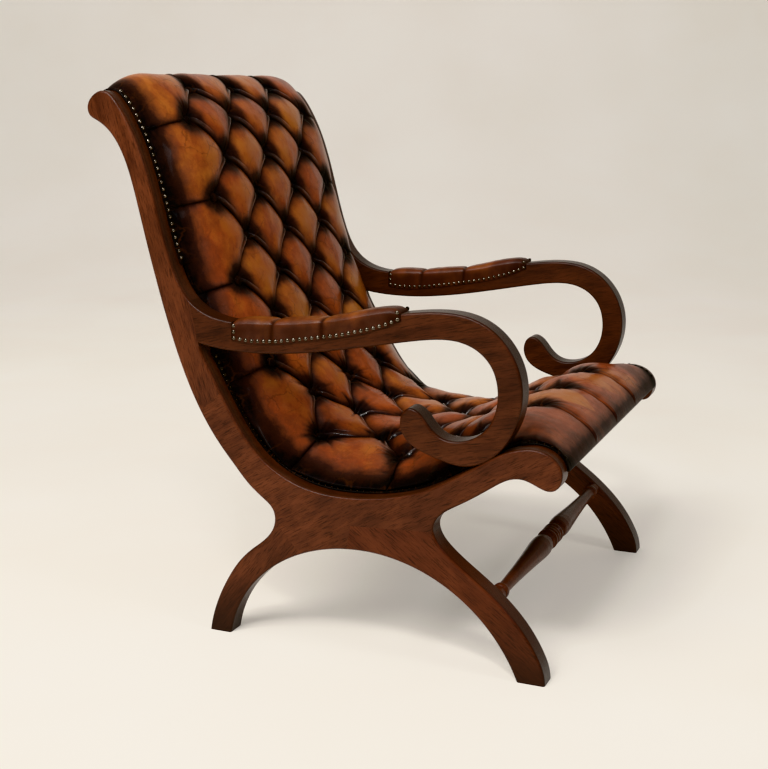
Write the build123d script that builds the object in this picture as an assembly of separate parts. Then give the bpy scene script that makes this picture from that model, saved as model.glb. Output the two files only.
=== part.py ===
from build123d import *
import os
import math

os.makedirs("parts", exist_ok=True)

# ---------------------------------------------------------------- driving dimensions, mm
WIDTH = 670.0            # over the outer faces of the two side frames
FRAME_T = 36.0           # thickness of every side-frame member
INNER = WIDTH / 2 - FRAME_T          # 299: inner face of a side frame
MID = WIDTH / 2 - FRAME_T / 2        # 317: middle plane of a side frame
ARRIS = 3.6              # rounding of the frame's long arrises
LAP = 10.0               # leather lapping on to the frame's front edge
DOWEL_R = 5.0
DOWEL_CLEAR = 0.05
LEATHER = 2.0
GAP = 0.3                # free space between soft pieces and curved wood
NAIL_R = 3.2             # radius of a dome nail head
NAIL_PITCH = 11.0
PAD_NAIL_PITCH = 10.0
BUTTON_R = 8.5
STRETCHER_Y, STRETCHER_Z = -283.0, 117.0
Y_SHIFT = 1.47            # sets the origin under the middle of the whole chair

# side-frame contour, (Y, Z): rear foot, rear edge, top scroll, front of the stile, arm and its scroll
C1 = [(193.8, 0.0), (186.3, 32.8), (174.2, 64.3), (158.7, 94.2), (139.9, 122.2), (116.5, 146.4), (90.6, 168.0),
      (75.8, 188.9), (72.8, 205.0), (76.7, 219.5), (91.5, 233.9), (117.4, 255.0), (139.7, 280.3), (161.3, 306.2),
      (181.3, 333.3), (198.9, 362.0), (214.3, 392.1), (227.7, 423.0), (239.7, 454.5), (250.4, 486.5), (260.4, 518.7),
      (269.7, 551.1), (278.5, 583.7), (287.0, 616.3), (295.0, 649.1), (302.9, 681.9), (311.0, 714.6), (320.8, 746.9),
      (334.5, 777.7), (355.2, 804.1), (374.9, 817.0), (385.2, 823.8), (388.5, 833.1), (387.2, 842.0), (381.7, 850.6),
      (373.0, 857.5), (362.6, 861.1), (350.9, 859.5), (339.1, 849.7), (321.5, 824.1), (306.0, 794.2), (293.4, 762.9),
      (283.1, 730.8), (274.2, 698.3), (266.0, 665.5), (257.6, 632.9), (247.9, 600.6), (235.5, 569.3), (216.0, 541.9),
      (188.0, 523.5), (155.5, 514.9), (121.8, 512.8), (88.1, 513.8), (54.5, 516.5), (21.0, 520.1), (-12.5, 524.1),
      (-45.9, 528.6), (-79.3, 533.8), (-112.5, 539.4), (-145.8, 544.7), (-179.3, 548.7), (-213.0, 549.6),
      (-246.3, 544.7), (-276.8, 530.7), (-301.5, 507.9), (-318.4, 478.9), (-326.3, 446.2), (-324.5, 412.6),
      (-313.4, 379.6), (-294.2, 350.8), (-266.0, 330.2), (-232.8, 323.2), (-199.4, 330.2), (-167.6, 341.3),
      (-147.3, 355.9), (-139.6, 370.4), (-138.5, 383.6), (-141.1, 393.2), (-146.4, 400.4), (-154.5, 403.8),
      (-163.3, 401.5), (-173.1, 394.0), (-188.3, 375.5), (-206.2, 362.8), (-227.1, 360.2), (-252.3, 367.0),
      (-273.1, 383.5), (-286.3, 409.9), (-288.7, 443.3), (-279.4, 473.8), (-260.5, 494.7), (-231.3, 507.4),
      (-197.8, 509.2), (-164.3, 505.1), (-131.1, 499.2), (-98.0, 492.9), (-64.8, 486.6), (-31.6, 480.6), (1.7, 475.3),
      (35.1, 471.0), (68.7, 467.9), (102.4, 466.5), (136.1, 467.0), (169.7, 469.7), (193.0, 473.4)]
# seat sweep, front scroll, underside and front leg
C2 = [(197.6, 464.2), (182.9, 434.7), (167.0, 404.9), (150.5, 375.3), (132.9, 346.4), (112.7, 319.3), (88.6, 295.6),
      (60.4, 276.9), (29.3, 263.8), (-3.7, 256.3), (-37.4, 253.8), (-71.2, 255.1), (-104.8, 259.2), (-137.9, 266.1),
      (-170.3, 276.6), (-201.5, 291.6), (-231.7, 309.2), (-261.6, 327.4), (-290.8, 345.2), (-319.7, 357.0),
      (-344.6, 360.4), (-365.7, 355.5), (-380.0, 345.1), (-387.0, 333.2), (-388.2, 320.7), (-384.8, 309.9),
      (-378.9, 303.1), (-370.6, 300.2), (-357.7, 302.7), (-330.7, 312.9), (-314.5, 312.3), (-288.0, 299.1),
      (-260.0, 280.1), (-231.1, 262.4), (-204.2, 244.5), (-194.9, 232.4), (-192.6, 221.4), (-195.7, 209.2),
      (-212.8, 187.4), (-238.8, 165.9), (-266.1, 145.8), (-292.5, 124.7), (-317.1, 101.4), (-338.9, 75.5),
      (-356.9, 46.9), (-369.5, 16.2), (-371.5, 0.0)]
# arch between the legs, rear to front
ARCH = [(155.5, 0.0), (147.0, 32.3), (132.8, 62.5), (113.5, 89.7), (89.9, 113.4), (63.0, 133.2), (33.5, 148.9),
        (2.1, 160.4), (-30.5, 167.7), (-63.8, 170.8), (-97.2, 169.9), (-130.2, 164.8), (-162.4, 155.8),
        (-193.2, 143.0), (-222.3, 126.5), (-249.2, 106.7), (-273.6, 83.8), (-294.9, 58.1), (-313.1, 30.1),
        (-327.7, 0.0)]
# line that the upholstery follows: over the top scroll, down the stile, through the seat, round the front scroll
BASE = [(374.9, 817.0), (385.2, 823.8), (388.5, 833.1), (387.2, 842.0), (381.7, 850.6), (373.0, 857.5), (362.6, 861.1), (350.9, 859.5), (339.1, 849.7),
        (321.5, 824.1), (306.0, 794.2), (293.4, 762.9), (283.1, 730.8), (274.2, 698.3), (266.0, 665.5),
        (257.6, 632.9), (247.9, 600.6), (237.0, 567.5), (225.2, 533.5), (211.8, 498.4), (197.6, 464.2),
        (182.9, 434.7), (167.0, 404.9), (150.5, 375.3), (132.9, 346.4), (112.7, 319.3), (88.6, 295.6), (60.4, 276.9),
        (29.3, 263.8), (-3.7, 256.3), (-37.4, 253.8), (-71.2, 255.1), (-104.8, 259.2), (-137.9, 266.1),
        (-170.3, 276.6), (-201.5, 291.6), (-231.7, 309.2), (-261.6, 327.4), (-290.8, 345.2), (-319.7, 357.0),
        (-344.6, 360.4), (-365.7, 355.5), (-380.0, 345.1), (-387.0, 333.2), (-388.2, 320.7), (-384.8, 309.9),
        (-378.9, 303.1)]

# joints of a side frame, (Y, Z)
STILE_JOINT = ((201.2, 366.6), (164.2, 399.0))
ARM_JOINT = ((216.0, 541.9), (200.0, 471.4))
REAR_LEG_CUT = [(10.0, 131.5), (77.0, 206.7), (230.0, 206.7), (230.0, -20.0), (10.0, -20.0)]
FRONT_LEG_CUT = [(-48.0, 150.0), (-57.7, 209.5), (-205.0, 217.2), (-420.0, 217.2), (-420.0, -20.0), (-48.0, -20.0)]

# rows of buttons: distance along the line from the top, number across, height of the button above the line
ROWS = [(28, 3, 22), (80, 4, 28), (145, 3, 31), (206, 4, 33), (277, 3, 35), (348, 4, 35), (421, 3, 37), (498, 4, 36),
        (577, 3, 42), (666, 4, 42), (772, 3, 40), (838, 4, 36), (915, 3, 34), (990, 4, 32), (1060, 3, 28)]
# height of the finished upholstery above the line, (distance from the top, height)
CROWN = [(-70, 4.6), (-56, 6.0), (-40, 9.0), (-28, 14), (-12, 22), (0, 28), (30, 36), (60, 42), (100, 47), (200, 50), (350, 51), (500, 53), (600, 58),
         (700, 61), (800, 57), (900, 52), (1000, 47), (1040, 42), (1070, 37), (1100, 29), (1125, 22), (1145, 11),
         (1160, 5.5), (1170, 4.4)]
SPLIT_AT = 622.0         # where the back's leather meets the seat's


# ---------------------------------------------------------------- helpers
def yz(points, x):
    return [Vector(x, y, z) for y, z in points]


def unit(a, b):
    v = Vector(0, b[0] - a[0], b[1] - a[1])
    return v.normalized()


def prism(points, x0, x1):
    """A straight block over a polygon in the YZ plane."""
    wire = Wire.make_polygon(yz(points, x0), close=True)
    return extrude(Face(wire), amount=x1 - x0, dir=(1, 0, 0))


def write(shape, name):
    shape = Pos(0, Y_SHIFT, 0) * shape
    shape.label = name
    export_step(shape, f"parts/{name}.step")
    box = shape.bounding_box()
    LIMITS.append((box.min, box.max))
    print(f"{name:28s} solids {len(shape.solids()):3d}  {box.min.X:8.1f} {box.min.Y:8.1f} {box.min.Z:7.1f}  {box.max.X:8.1f} {box.max.Y:8.1f} {box.max.Z:7.1f}")


def rod(a, b, r):
    """A round rod from point a to point b."""
    a, b = Vector(*a), Vector(*b)
    d = b - a
    return extrude(Plane(origin=a, z_dir=d) * Circle(r), amount=d.length)


def mirrored(shape):
    return mirror(shape, about=Plane.YZ)


LIMITS = []

base_edge = Spline(*[Vector(0, y, z) for y, z in BASE])
# distance along the line from its start to the highest point
TOP_AT = max((base_edge.position_at(k * 0.5, position_mode=PositionMode.LENGTH).Z, k * 0.5) for k in range(60, 200))[1]


def at(s):
    """Point on the upholstery line and its outward normal, at distance s from the highest point."""
    d = s + TOP_AT
    p = base_edge.position_at(d, position_mode=PositionMode.LENGTH)
    t = base_edge.tangent_at(d, position_mode=PositionMode.LENGTH)
    return p, Vector(0, t.Z, -t.Y).normalized()


def crown(s):
    for (a, ha), (b, hb) in zip(CROWN[:-1], CROWN[1:]):
        if a <= s <= b:
            return ha + (hb - ha) * (s - a) / (b - a)
    return CROWN[0][1] if s < CROWN[0][0] else CROWN[-1][1]


def lift(s, h, x=0.0):
    p, n = at(s)
    return Vector(x, p.Y + n.Y * h, p.Z + n.Z * h)


# ---------------------------------------------------------------- side frame
def smooth(points, x=INNER):
    return Spline(*yz(points, x))


def outline_solid(edges):
    """A side-frame member from its contour, its long arrises rounded."""
    blank = extrude(Face(Wire(edges)), amount=FRAME_T, dir=(1, 0, 0))
    arrises = [e for e in blank.edges() if abs(e.bounding_box().size.X) < 0.01 and e.geom_type != GeomType.LINE]
    return fillet(arrises, ARRIS)


NOTCH = [(198.4, 471.9)]           # small rounding where the arm's underside meets the stile
body_rear = C1[:52]
body_front = C1[-3:] + NOTCH + C2
body = outline_solid([smooth(body_rear), Line(Vector(INNER, *body_rear[-1]), Vector(INNER, *body_front[0])),
                      smooth(body_front), Line(Vector(INNER, *C2[-1]), Vector(INNER, *ARCH[-1])),
                      smooth(ARCH[::-1]), Line(Vector(INNER, *ARCH[0]), Vector(INNER, *C1[0]))])
arm_curve = C1[46:-1] + [(193.0, 473.4), (216.0, 478.5), (240.0, 485.0)]
arm_close = [arm_curve[-1], (232.0, 515.0), (262.0, 580.0), arm_curve[0]]
arm_body = outline_solid([smooth(arm_curve)] + [Line(Vector(INNER, *a), Vector(INNER, *b))
                                                for a, b in zip(arm_close[:-1], arm_close[1:])])

X0, X1 = INNER - 20, WIDTH / 2 + 20
# the arm's joint with the stile
(ja, jb) = ARM_JOINT
body = body - prism([ja, jb, (192.0, 464.0), (60.0, 455.0), (60.0, 600.0), (200.0, 600.0)], X0, X1)
arm = arm_body - prism([jb, ja, (238.3, 640.0), (340.0, 640.0), (340.0, 440.0), (192.9, 440.0)], X0, X1)
# flat seat where the arm's scroll stands on the seat rail
seat_dir = Vector(0, -0.851, 0.525)
seat_n = Vector(0, 0.525, 0.851)
seat_at = Vector(0, -268.0, 331.8)


def seat_block(side_sign, reach=26.0, depth=9.0):
    a, b = seat_at - seat_dir * reach, seat_at + seat_dir * reach
    q = [a, b, b + seat_n * depth * side_sign, a + seat_n * depth * side_sign]
    return prism([(v.Y, v.Z) for v in q], X0, X1)


arm = arm - seat_block(-1)
body = body - seat_block(1)

# the body's four members
a, b = STILE_JOINT
d = unit(a, b)
n = Vector(0, -d.Z, d.Y)
pa, pb = Vector(0, *a) - d * 260, Vector(0, *b) + d * 60
stile_zone = prism([(pa.Y, pa.Z), (pb.Y, pb.Z), (pb.Y, 900.0), (440.0, 900.0)], X0, X1)
rear_zone = prism(REAR_LEG_CUT, X0, X1)
front_zone = prism(FRONT_LEG_CUT, X0, X1)
stile = body & stile_zone
lower = body - stile_zone
rear_leg = lower & rear_zone
front_leg = lower & front_zone
rail = (lower - rear_zone) - front_zone

# ---------------------------------------------------------------- dowels of a side frame
def frame_dowel(y, z, ny, nz, back_len, fore_len, r=DOWEL_R):
    """(pin, hole) on the middle plane, along (ny, nz)."""
    k = math.hypot(ny, nz)
    ny, nz = ny / k, nz / k
    a_ = (MID, y - ny * back_len, z - nz * back_len)
    b_ = (MID, y + ny * fore_len, z + nz * fore_len)
    a2 = (MID, y - ny * (back_len + 1), z - nz * (back_len + 1))
    b2 = (MID, y + ny * (fore_len + 1), z + nz * (fore_len + 1))
    return rod(a_, b_, r), rod(a2, b2, r + DOWEL_CLEAR)


frame_pins = []


def join(first, second, *args):
    pin, hole = frame_dowel(*args)
    frame_pins.append(pin)
    return first - hole, second - hole


for t in (0.28, 0.72):
    y, z = a[0] + (b[0] - a[0]) * t, a[1] + (b[1] - a[1]) * t
    stile, rail = join(stile, rail, y, z, n.Y, n.Z, 22, 22)
for t in (0.34, 0.68):
    y, z = 28.3 + 44.9 * t, 152.0 + 50.4 * t
    rail, rear_leg = join(rail, rear_leg, y, z, 0.747, -0.665, 22, 22)
for y, z in ((-95.0, 211.4), (-155.0, 214.5)):
    rail, front_leg = join(rail, front_leg, y, z, -0.05, -1.0, 22, 22)
for t in (0.22, 0.50):
    y, z = jb[0] + (ja[0] - jb[0]) * t, jb[1] + (ja[1] - jb[1]) * t
    arm, stile = join(arm, stile, y, z, 0.975, -0.221, 15, 14)
arm, rail = join(arm, rail, seat_at.Y, seat_at.Z, -seat_n.Y, -seat_n.Z, 14, 18, 4.0)

# ---------------------------------------------------------------- cross rails between the two side frames
def round_rail(y, z, r):
    return rod((-INNER, y, z), (INNER, y, z), r)


def flat_rail(y, z, uy, uz, half_w, half_t):
    k = math.hypot(uy, uz)
    uy, uz = uy / k, uz / k
    vy, vz = uz, -uy
    pts = [(y + sa * half_w * uy + sb * half_t * vy, z + sa * half_w * uz + sb * half_t * vz)
           for sa, sb in ((-1, -1), (1, -1), (1, 1), (-1, 1))]
    return prism(pts, -INNER, INNER)


RAILS = {
    "top_cross_rail": (round_rail(364.0, 837.0, 18.0), [(364.0, 845.0), (364.0, 829.0)]),
    "upper_back_rail": (flat_rail(290.5, 680.0, 0.23, 0.973, 20.0, 6.5), [(293.3, 692.0), (287.7, 668.0)]),
    "lumbar_rail": (flat_rail(231.0, 487.0, 0.33, 0.944, 22.0, 9.0), [(234.6, 497.4), (227.4, 476.6)]),
    "seat_back_rail": (flat_rail(128.0, 290.0, 0.65, 0.76, 20.0, 9.0), [(134.5, 297.6), (121.5, 282.4)]),
    "seat_cross_rail": (flat_rail(-60.0, 228.0, 1.0, 0.0, 20.0, 10.0), [(-50.0, 228.0), (-70.0, 228.0)]),
    "front_cross_rail": (round_rail(-357.0, 332.5, 19.5), [(-357.0, 341.0), (-357.0, 324.0)]),
}
RAIL_PIN_R = 4.0
rail_pins = []
for key, (shape, spots) in RAILS.items():
    for y, z in spots:
        for sx in (-1, 1):
            rail_pins.append(rod((sx * (INNER - 25), y, z), (sx * (INNER + 20), y, z), RAIL_PIN_R))
            shape = shape - rod((sx * (INNER - 26), y, z), (sx * (INNER + 1), y, z), RAIL_PIN_R + DOWEL_CLEAR)
        bore = rod((INNER - 1, y, z), (INNER + 21, y, z), RAIL_PIN_R + DOWEL_CLEAR)
        if z > 380:
            stile = stile - bore
        else:
            rail = rail - bore
    RAILS[key] = (shape, spots)

# ---------------------------------------------------------------- turned front stretcher
TENON_R, TENON_L = 8.0, 22.0
half_profile = [(0, 15.5), (3, 17.4), (7, 17.4), (9.5, 13.2), (12, 15.5), (15, 17.8), (19, 17.8), (21.5, 14.0),
                (24, 15.2), (27, 16.4), (31, 14.4), (34, 12.2), (38, 12.6), (40, 16.0), (44, 17.2), (58, 18.4),
                (75, 18.0), (100, 16.4), (140, 14.0), (190, 11.6), (240, 9.9), (266, 9.4), (270, 10.2), (272, 12.4),
                (277, 13.2), (282, 12.4), (284, 10.6), (290, 11.2), (INNER - 0.1, 11.8)]
pts = [Vector(x, r, 0) for x, r in half_profile]
full = [Vector(-v.X, v.Y, 0) for v in pts[::-1]] + pts[1:]
tenon = [Vector(INNER - 0.1, TENON_R, 0), Vector(INNER + TENON_L, TENON_R, 0), Vector(INNER + TENON_L, 0, 0)]
loop = ([Vector(-v.X, v.Y, 0) for v in tenon[::-1]] + full + tenon)
turned = revolve(Face(Wire.make_polygon(loop, close=True)), axis=Axis.X, revolution_arc=360)
stretcher = Pos(0, STRETCHER_Y, STRETCHER_Z) * turned
front_leg = front_leg - rod((INNER - 1, STRETCHER_Y, STRETCHER_Z),
                            (INNER + TENON_L + 1, STRETCHER_Y, STRETCHER_Z), TENON_R + DOWEL_CLEAR)

# ---------------------------------------------------------------- arm pads
PAD_Y0, PAD_Y1 = -139.0, 140.0
REBATE = [(141.0, 503.6), (92.0, 503.0), (54.0, 505.0), (21.0, 508.2), (-12.0, 512.2), (-46.0, 516.8),
          (-79.0, 522.0), (-112.0, 527.6), (-140.0, 532.6)]
PAD_TOP = [(140.0, 516.6), (118.0, 518.6), (92.0, 519.6), (54.0, 521.6), (21.0, 525.0), (-12.0, 529.4),
           (-46.0, 535.2), (-79.0, 543.0), (-112.0, 549.6), (-128.0, 551.0), (-139.0, 549.6)]
PAD_LOW = [(140.0, 485.0), (109.0, 482.3), (66.0, 484.6), (15.0, 492.6), (-43.0, 502.4), (-99.0, 517.0),
           (-123.0, 526.0), (-139.0, 533.2)]


def closed_block(top, low, x0, x1, dz_top=0.0, dz_low=0.0):
    tp = [(y, z + dz_top) for y, z in top]
    lw = [(y, z + dz_low) for y, z in low][::-1]
    edges = [Spline(*yz(tp, x0)), Line(Vector(x0, *tp[-1]), Vector(x0, *lw[0])),
             Spline(*yz(lw, x0)), Line(Vector(x0, *lw[-1]), Vector(x0, *tp[0]))]
    return extrude(Face(Wire(edges)), amount=x1 - x0, dir=(1, 0, 0))


high = [(y, z + 60.0) for y, z in REBATE]
arm = arm - closed_block(high, REBATE, X0, X1)
skirt = GAP + LEATHER
outer_pad = closed_block(PAD_TOP, PAD_LOW, INNER - skirt, WIDTH / 2 + skirt)
try:
    tops = [e for e in outer_pad.edges() if abs(e.bounding_box().size.X) < 0.01 and e.bounding_box().size.Y > 100
            and e.center().Z > 518]
    outer_pad = fillet(tops, 7.0)
except Exception as problem:
    print("pad rounding failed:", problem)


def soft_core(drop, x0, x1, y0, y1, radius):
    block = closed_block([(y, z - drop) for y, z in PAD_TOP], REBATE, x0, x1, 0.0, drop - LEATHER + GAP)
    edges = [e for e in block.edges() if abs(e.bounding_box().size.X) < 0.01 and e.bounding_box().size.Y > 100
             and e.center().Z > 516]
    block = fillet(edges, radius)
    return block & prism([(y1, 480.0), (y1, 560.0), (y0, 560.0), (y0, 480.0)], X0, X1)


core = soft_core(LEATHER, INNER - GAP, WIDTH / 2 + GAP, PAD_Y0 + LEATHER, PAD_Y1 - LEATHER, 5.0)
wood_room = closed_block([(y, z + GAP + 0.01) for y, z in REBATE], [(y, z - 40.0) for y, z in REBATE],
                         INNER - GAP, WIDTH / 2 + GAP)
pad_leather = (outer_pad - core) - wood_room
pad_stuffing = soft_core(LEATHER + 0.3, INNER, WIDTH / 2, PAD_Y0 + LEATHER + 0.3, PAD_Y1 - LEATHER - 0.3, 4.8)


def along(points, pitch, start=0.0, stop=0.0):
    """Evenly spaced points on a polyline."""
    out, seg = [], []
    for p, q in zip(points[:-1], points[1:]):
        seg.append((p, q, math.dist(p, q)))
    total = sum(s_[2] for s_ in seg)
    count = int((total - start - stop) // pitch) + 1
    step = (total - start - stop) / (count - 1)
    for i in range(count):
        want, run = start + i * step, 0.0
        for p, q, ln in seg:
            if run + ln >= want - 1e-9:
                f = (want - run) / ln
                out.append((p[0] + (q[0] - p[0]) * f, p[1] + (q[1] - p[1]) * f))
                break
            run += ln
    return out


def nail_head(r=NAIL_R, height=1.9):
    big = (r * r + height * height) / (2 * height)
    cap = Pos(0, 0, height - big) * Sphere(big)
    return cap & Pos(0, 0, 10) * Box(20, 20, 20)


HEAD = nail_head()


def place(shape, origin, direction):
    return Plane(origin=origin, z_dir=direction).location * shape


pad_nails = []
low_line = [(y, z + 3.7) for y, z in PAD_LOW]
front_line = [(PAD_Y0 + 3.7, PAD_LOW[-1][1] + 3.7 + 9.0)]
rear_line = [(PAD_Y1 - 3.7, 498.5), (PAD_Y1 - 3.7, 508.0)]
side_spots = along([(y, z) for y, z in low_line if PAD_Y0 + 2 < y < PAD_Y1 - 2] and
                   [(PAD_Y1 - 3.7, 488.9)] + low_line[1:-1] + [(PAD_Y0 + 3.7, 535.6)], PAD_NAIL_PITCH)
side_spots += front_line + rear_line
for y, z in side_spots:
    pad_nails.append(place(HEAD, (WIDTH / 2 + skirt + 0.1, y, z), (1, 0, 0)))
    pad_nails.append(place(HEAD, (INNER - skirt - 0.1, y, z), (-1, 0, 0)))

# ---------------------------------------------------------------- upholstery of the seat and back
def ribbon(s_values, h0, h1, half_x):
    """A sheet between heights h0 and h1 over the upholstery line."""
    lo = [lift(s, h0, -half_x) for s in s_values]
    hi = [lift(s, h1, -half_x) for s in s_values]
    edges = [Spline(*lo), Line(lo[-1], hi[-1]), Spline(*hi[::-1]), Line(hi[0], lo[0])]
    return extrude(Face(Wire(edges)), amount=2 * half_x, dir=(1, 0, 0))


def spaced(a_, b_, step):
    count = max(2, int(math.ceil((b_ - a_) / step)))
    return [a_ + (b_ - a_) * i / count for i in range(count + 1)]


# arms stand in the lap's way, so everything wider than the inner faces is notched there
ARM_NOTCH = [(270.0, 594.0), (120.0, 594.0), (120.0, 461.0), (270.0, 461.0)]
SCROLL_NOTCH = [(-320.0, 280.0), (-320.0, 420.0), (-206.0, 420.0), (-206.0, 280.0)]      # where the arm's scroll stands
notches = [prism(ARM_NOTCH, INNER - 0.4, INNER + 40.0), prism(ARM_NOTCH, -INNER - 40.0, -INNER + 0.4),
           prism(SCROLL_NOTCH, INNER - 0.4, INNER + 40.0), prism(SCROLL_NOTCH, -INNER - 40.0, -INNER + 0.4)]


def notched(shape):
    for cutter in notches:
        shape = shape - cutter
    return shape


STRAPS = [(112, 20), (175, 22), (241, 23), (312, 23), (384, 24), (459, 25), (537, 25), (621, 27), (719, 27),
          (805, 22), (876, 24), (952, 24), (1025, 22)]
webbing = [notched(ribbon(spaced(s - w, s + w, 11), 0.4, 1.5, INNER + 4.5)) for s, w in STRAPS]
hessian = notched(ribbon(spaced(-50, 1146, 26), 1.8, 2.4, INNER + 4.0))

EDGE = INNER + LAP + 0.5
HEM_LOW, HEM_TOP = 0.6, 3.9          # the leather's edge is turned under
STATIONS = [-57.4, -53, -47, -41, -35, -29, -23, -17, -11, -5, 1, 8, 16, 26, 40, 64, 100, 150, 210, 270, 330, 390, 450, 510, 560, 600, 640, 680,
            720, 760, 800, 850, 900, 950, 1000, 1030, 1050, 1066, 1078, 1088, 1096, 1104, 1112, 1120, 1128, 1136, 1144,
            1151, 1158, 1165.4]


def height(s, x):
    """Height of the finished upholstery at s, x: the crown, falling to the two edges."""
    c_, edge = crown(s) - HEM_TOP, 0.4 + 0.44 * (INNER - abs(x))
    return HEM_TOP + 0.1 + (c_ ** -4 + edge ** -4) ** -0.25


def section(s, shrink, low, side):
    """Closed outline across the chair at s; shrink lowers it and side narrows it."""
    pts_ = [(INNER - side, low)] if shrink else [(INNER + 1.5, low), (INNER + 1.5, HEM_TOP - 1.3)]
    for x in (side, side + 16, side + 42, side + 70, side + 100, side + 135, side + 190):
        pts_.append((INNER - x, height(s, INNER - x) - shrink))
    right = [lift(s, hh, x) for x, hh in pts_]
    left = [Vector(-v.X, v.Y, v.Z) for v in right[::-1]]
    return Wire.make_polygon(right + left, close=True)


def crowned(s_values, shrink, low, side):
    return Solid.make_loft([section(s, shrink, low, side) for s in s_values], ruled=True)


outer_block = crowned(STATIONS, 0.0, HEM_LOW + 0.6, 2.0) + ribbon(spaced(-58, 1166, 22), HEM_LOW, HEM_TOP, EDGE)
inner_block = crowned([s for s in STATIONS if -54 < s < 1150], LEATHER, -3.0, 9.0)
stuffing_block = crowned([s for s in STATIONS if -40 < s < 1140], LEATHER + 0.6, 2.0, 14.0)
cloth_room = ribbon(spaced(-55, 1150, 22), -4.0, 2.7, INNER + 5.0)
wood_room = ribbon(spaced(-60, 1168, 22), -6.0, 0.5, EDGE + 5.0)
print("blocks", outer_block.is_valid, inner_block.is_valid, stuffing_block.is_valid)

# buttons in their pits, and the ties that hold them
def cone(s, x, h0, h1, r0, r1):
    p0, n_ = at(s)
    o = Vector(x, p0.Y + n_.Y * h0, p0.Z + n_.Z * h0)
    c_ = Solid.make_cylinder(r0, h1 - h0) if r0 == r1 else Solid.make_cone(r0, r1, h1 - h0)
    return Plane(origin=o, z_dir=n_).location * c_


def spots_of(row):
    s, count, h = row
    xs = (-210.0, -70.0, 70.0, 210.0) if count == 4 else (-140.0, 0.0, 140.0)
    return [(s, x, h) for x in xs]


spots = [spot for row in ROWS for spot in spots_of(row)]
button = extrude(Circle(BUTTON_R), amount=5.0)
button = fillet(button.edges().filter_by(GeomType.CIRCLE).sort_by(Axis.Z)[-1:], 2.6)
pits, liners, beds, shafts, ties, buttons = [], [], [], [], [], {"back": [], "seat": []}
for s, x, h in spots:
    p0, n_ = at(s)
    pits.append(cone(s, x, h - 3.0, crown(s) + 8.0, BUTTON_R + 1.0, BUTTON_R + 13.0))
    liners.append(cone(s, x, h - 5.0, crown(s) + 8.0, BUTTON_R + 2.2, BUTTON_R + 15.3))
    beds.append(cone(s, x, h - 5.3, crown(s) + 8.0, BUTTON_R + 2.5, BUTTON_R + 15.6))
    o = Vector(x, p0.Y + n_.Y * (h - 2.8), p0.Z + n_.Z * (h - 2.8))
    buttons["back" if s < SPLIT_AT else "seat"].append(Plane(origin=o, z_dir=n_).location * button)
    if 60 < s < 1040:
        foot = lift(s, -9.0, x)
        near_rail = any(math.hypot(foot.Y - y_, foot.Z - z_) < 34 for _, sp in RAILS.values() for y_, z_ in sp)
        shafts.append(cone(s, x, 1.0, h - 2.0, 1.5, 1.5))
        if not near_rail:
            ties.append(cone(s, x, -9.0, h - 3.1, 0.8, 0.8) + cone(s, x, -11.0, -9.0, 3.0, 3.0))
print("buttons", len(spots), "ties", len(ties))


def cut_all(shape, tools):
    return shape.cut(*tools) if tools else shape


leather = ((cut_all(outer_block, pits) - cut_all(inner_block, liners)) - cloth_room) - wood_room
leather = notched(cut_all(leather, shafts))
stuffing = cut_all(cut_all(stuffing_block, beds), shafts) - cloth_room
hessian = cut_all(hessian, shafts)

p0, n0 = at(SPLIT_AT)
cutd = Vector(0, -n0.Z, n0.Y)          # towards the back above


def side_of_split(sign, gap=0.2):
    o = Vector(0, p0.Y, p0.Z) + cutd * (gap * sign)
    q = [o - n0 * 800, o + n0 * 900, o + n0 * 900 + cutd * (sign * 1200), o - n0 * 800 + cutd * (sign * 1200)]
    return prism([(v.Y, v.Z) for v in q], -400.0, 400.0)


sgn = 1 if (cutd.Z > 0) else -1
back_zone, seat_zone = side_of_split(sgn), side_of_split(-sgn)
print("top at", TOP_AT, "length", base_edge.length)
print("split", round(p0.Y, 1), round(p0.Z, 1), "dir", round(cutd.Y, 2), round(cutd.Z, 2))
back_leather = leather & back_zone
seat_leather = leather & seat_zone
back_stuffing = stuffing & back_zone
seat_stuffing = stuffing & seat_zone

# dome nails along both edges
edge_nails = []
for i in range(200):
    s = 14.0 + i * NAIL_PITCH
    if s > 1150:
        break
    o = lift(s, HEM_TOP + 0.3, INNER + 5.9)
    if (458.0 < o.Z < 597.0 and o.Y > 150) or (-325.0 < o.Y < -201.0 and o.Z > 280):
        continue
    edge_nails.append(place(HEAD, (o.X, o.Y, o.Z), at(s)[1]))

# ---------------------------------------------------------------- outside back and underside
BACK_LINE = [(121.0, 259.0)] + C1[12:31]


def offset_line(points, h, sign):
    out = []
    for i, p in enumerate(points):
        q0, q1 = points[max(i - 1, 0)], points[min(i + 1, len(points) - 1)]
        t = unit(q0, q1)
        out.append((p[0] + sign * t.Z * h, p[1] - sign * t.Y * h))
    return out


def sheet(points, h0, h1, half_x, sign=1):
    lo, hi = offset_line(points, h0, sign), offset_line(points, h1, sign)
    edges = [Spline(*yz(lo, -half_x)), Line(Vector(-half_x, *lo[-1]), Vector(-half_x, *hi[-1])),
             Spline(*yz(hi[::-1], -half_x)), Line(Vector(-half_x, *hi[0]), Vector(-half_x, *lo[0]))]
    return extrude(Face(Wire(edges)), amount=2 * half_x, dir=(1, 0, 0))


outside_back = sheet(BACK_LINE, 0.7, 0.7 + LEATHER, EDGE)
back_nails = []
for y, z in along(offset_line(BACK_LINE, 0.7 + LEATHER + 0.15, 1), NAIL_PITCH, 6, 6):
    j = min(range(len(BACK_LINE) - 1), key=lambda k_: math.dist(BACK_LINE[k_], (y, z)) + math.dist(BACK_LINE[k_ + 1], (y, z)))
    t = unit(BACK_LINE[j], BACK_LINE[j + 1])
    nn = Vector(0, t.Z, -t.Y)
    o = Vector(INNER + 5.6, y, z) + nn * 0.35
    back_nails.append(place(HEAD, (o.X, o.Y, o.Z), nn))

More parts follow.
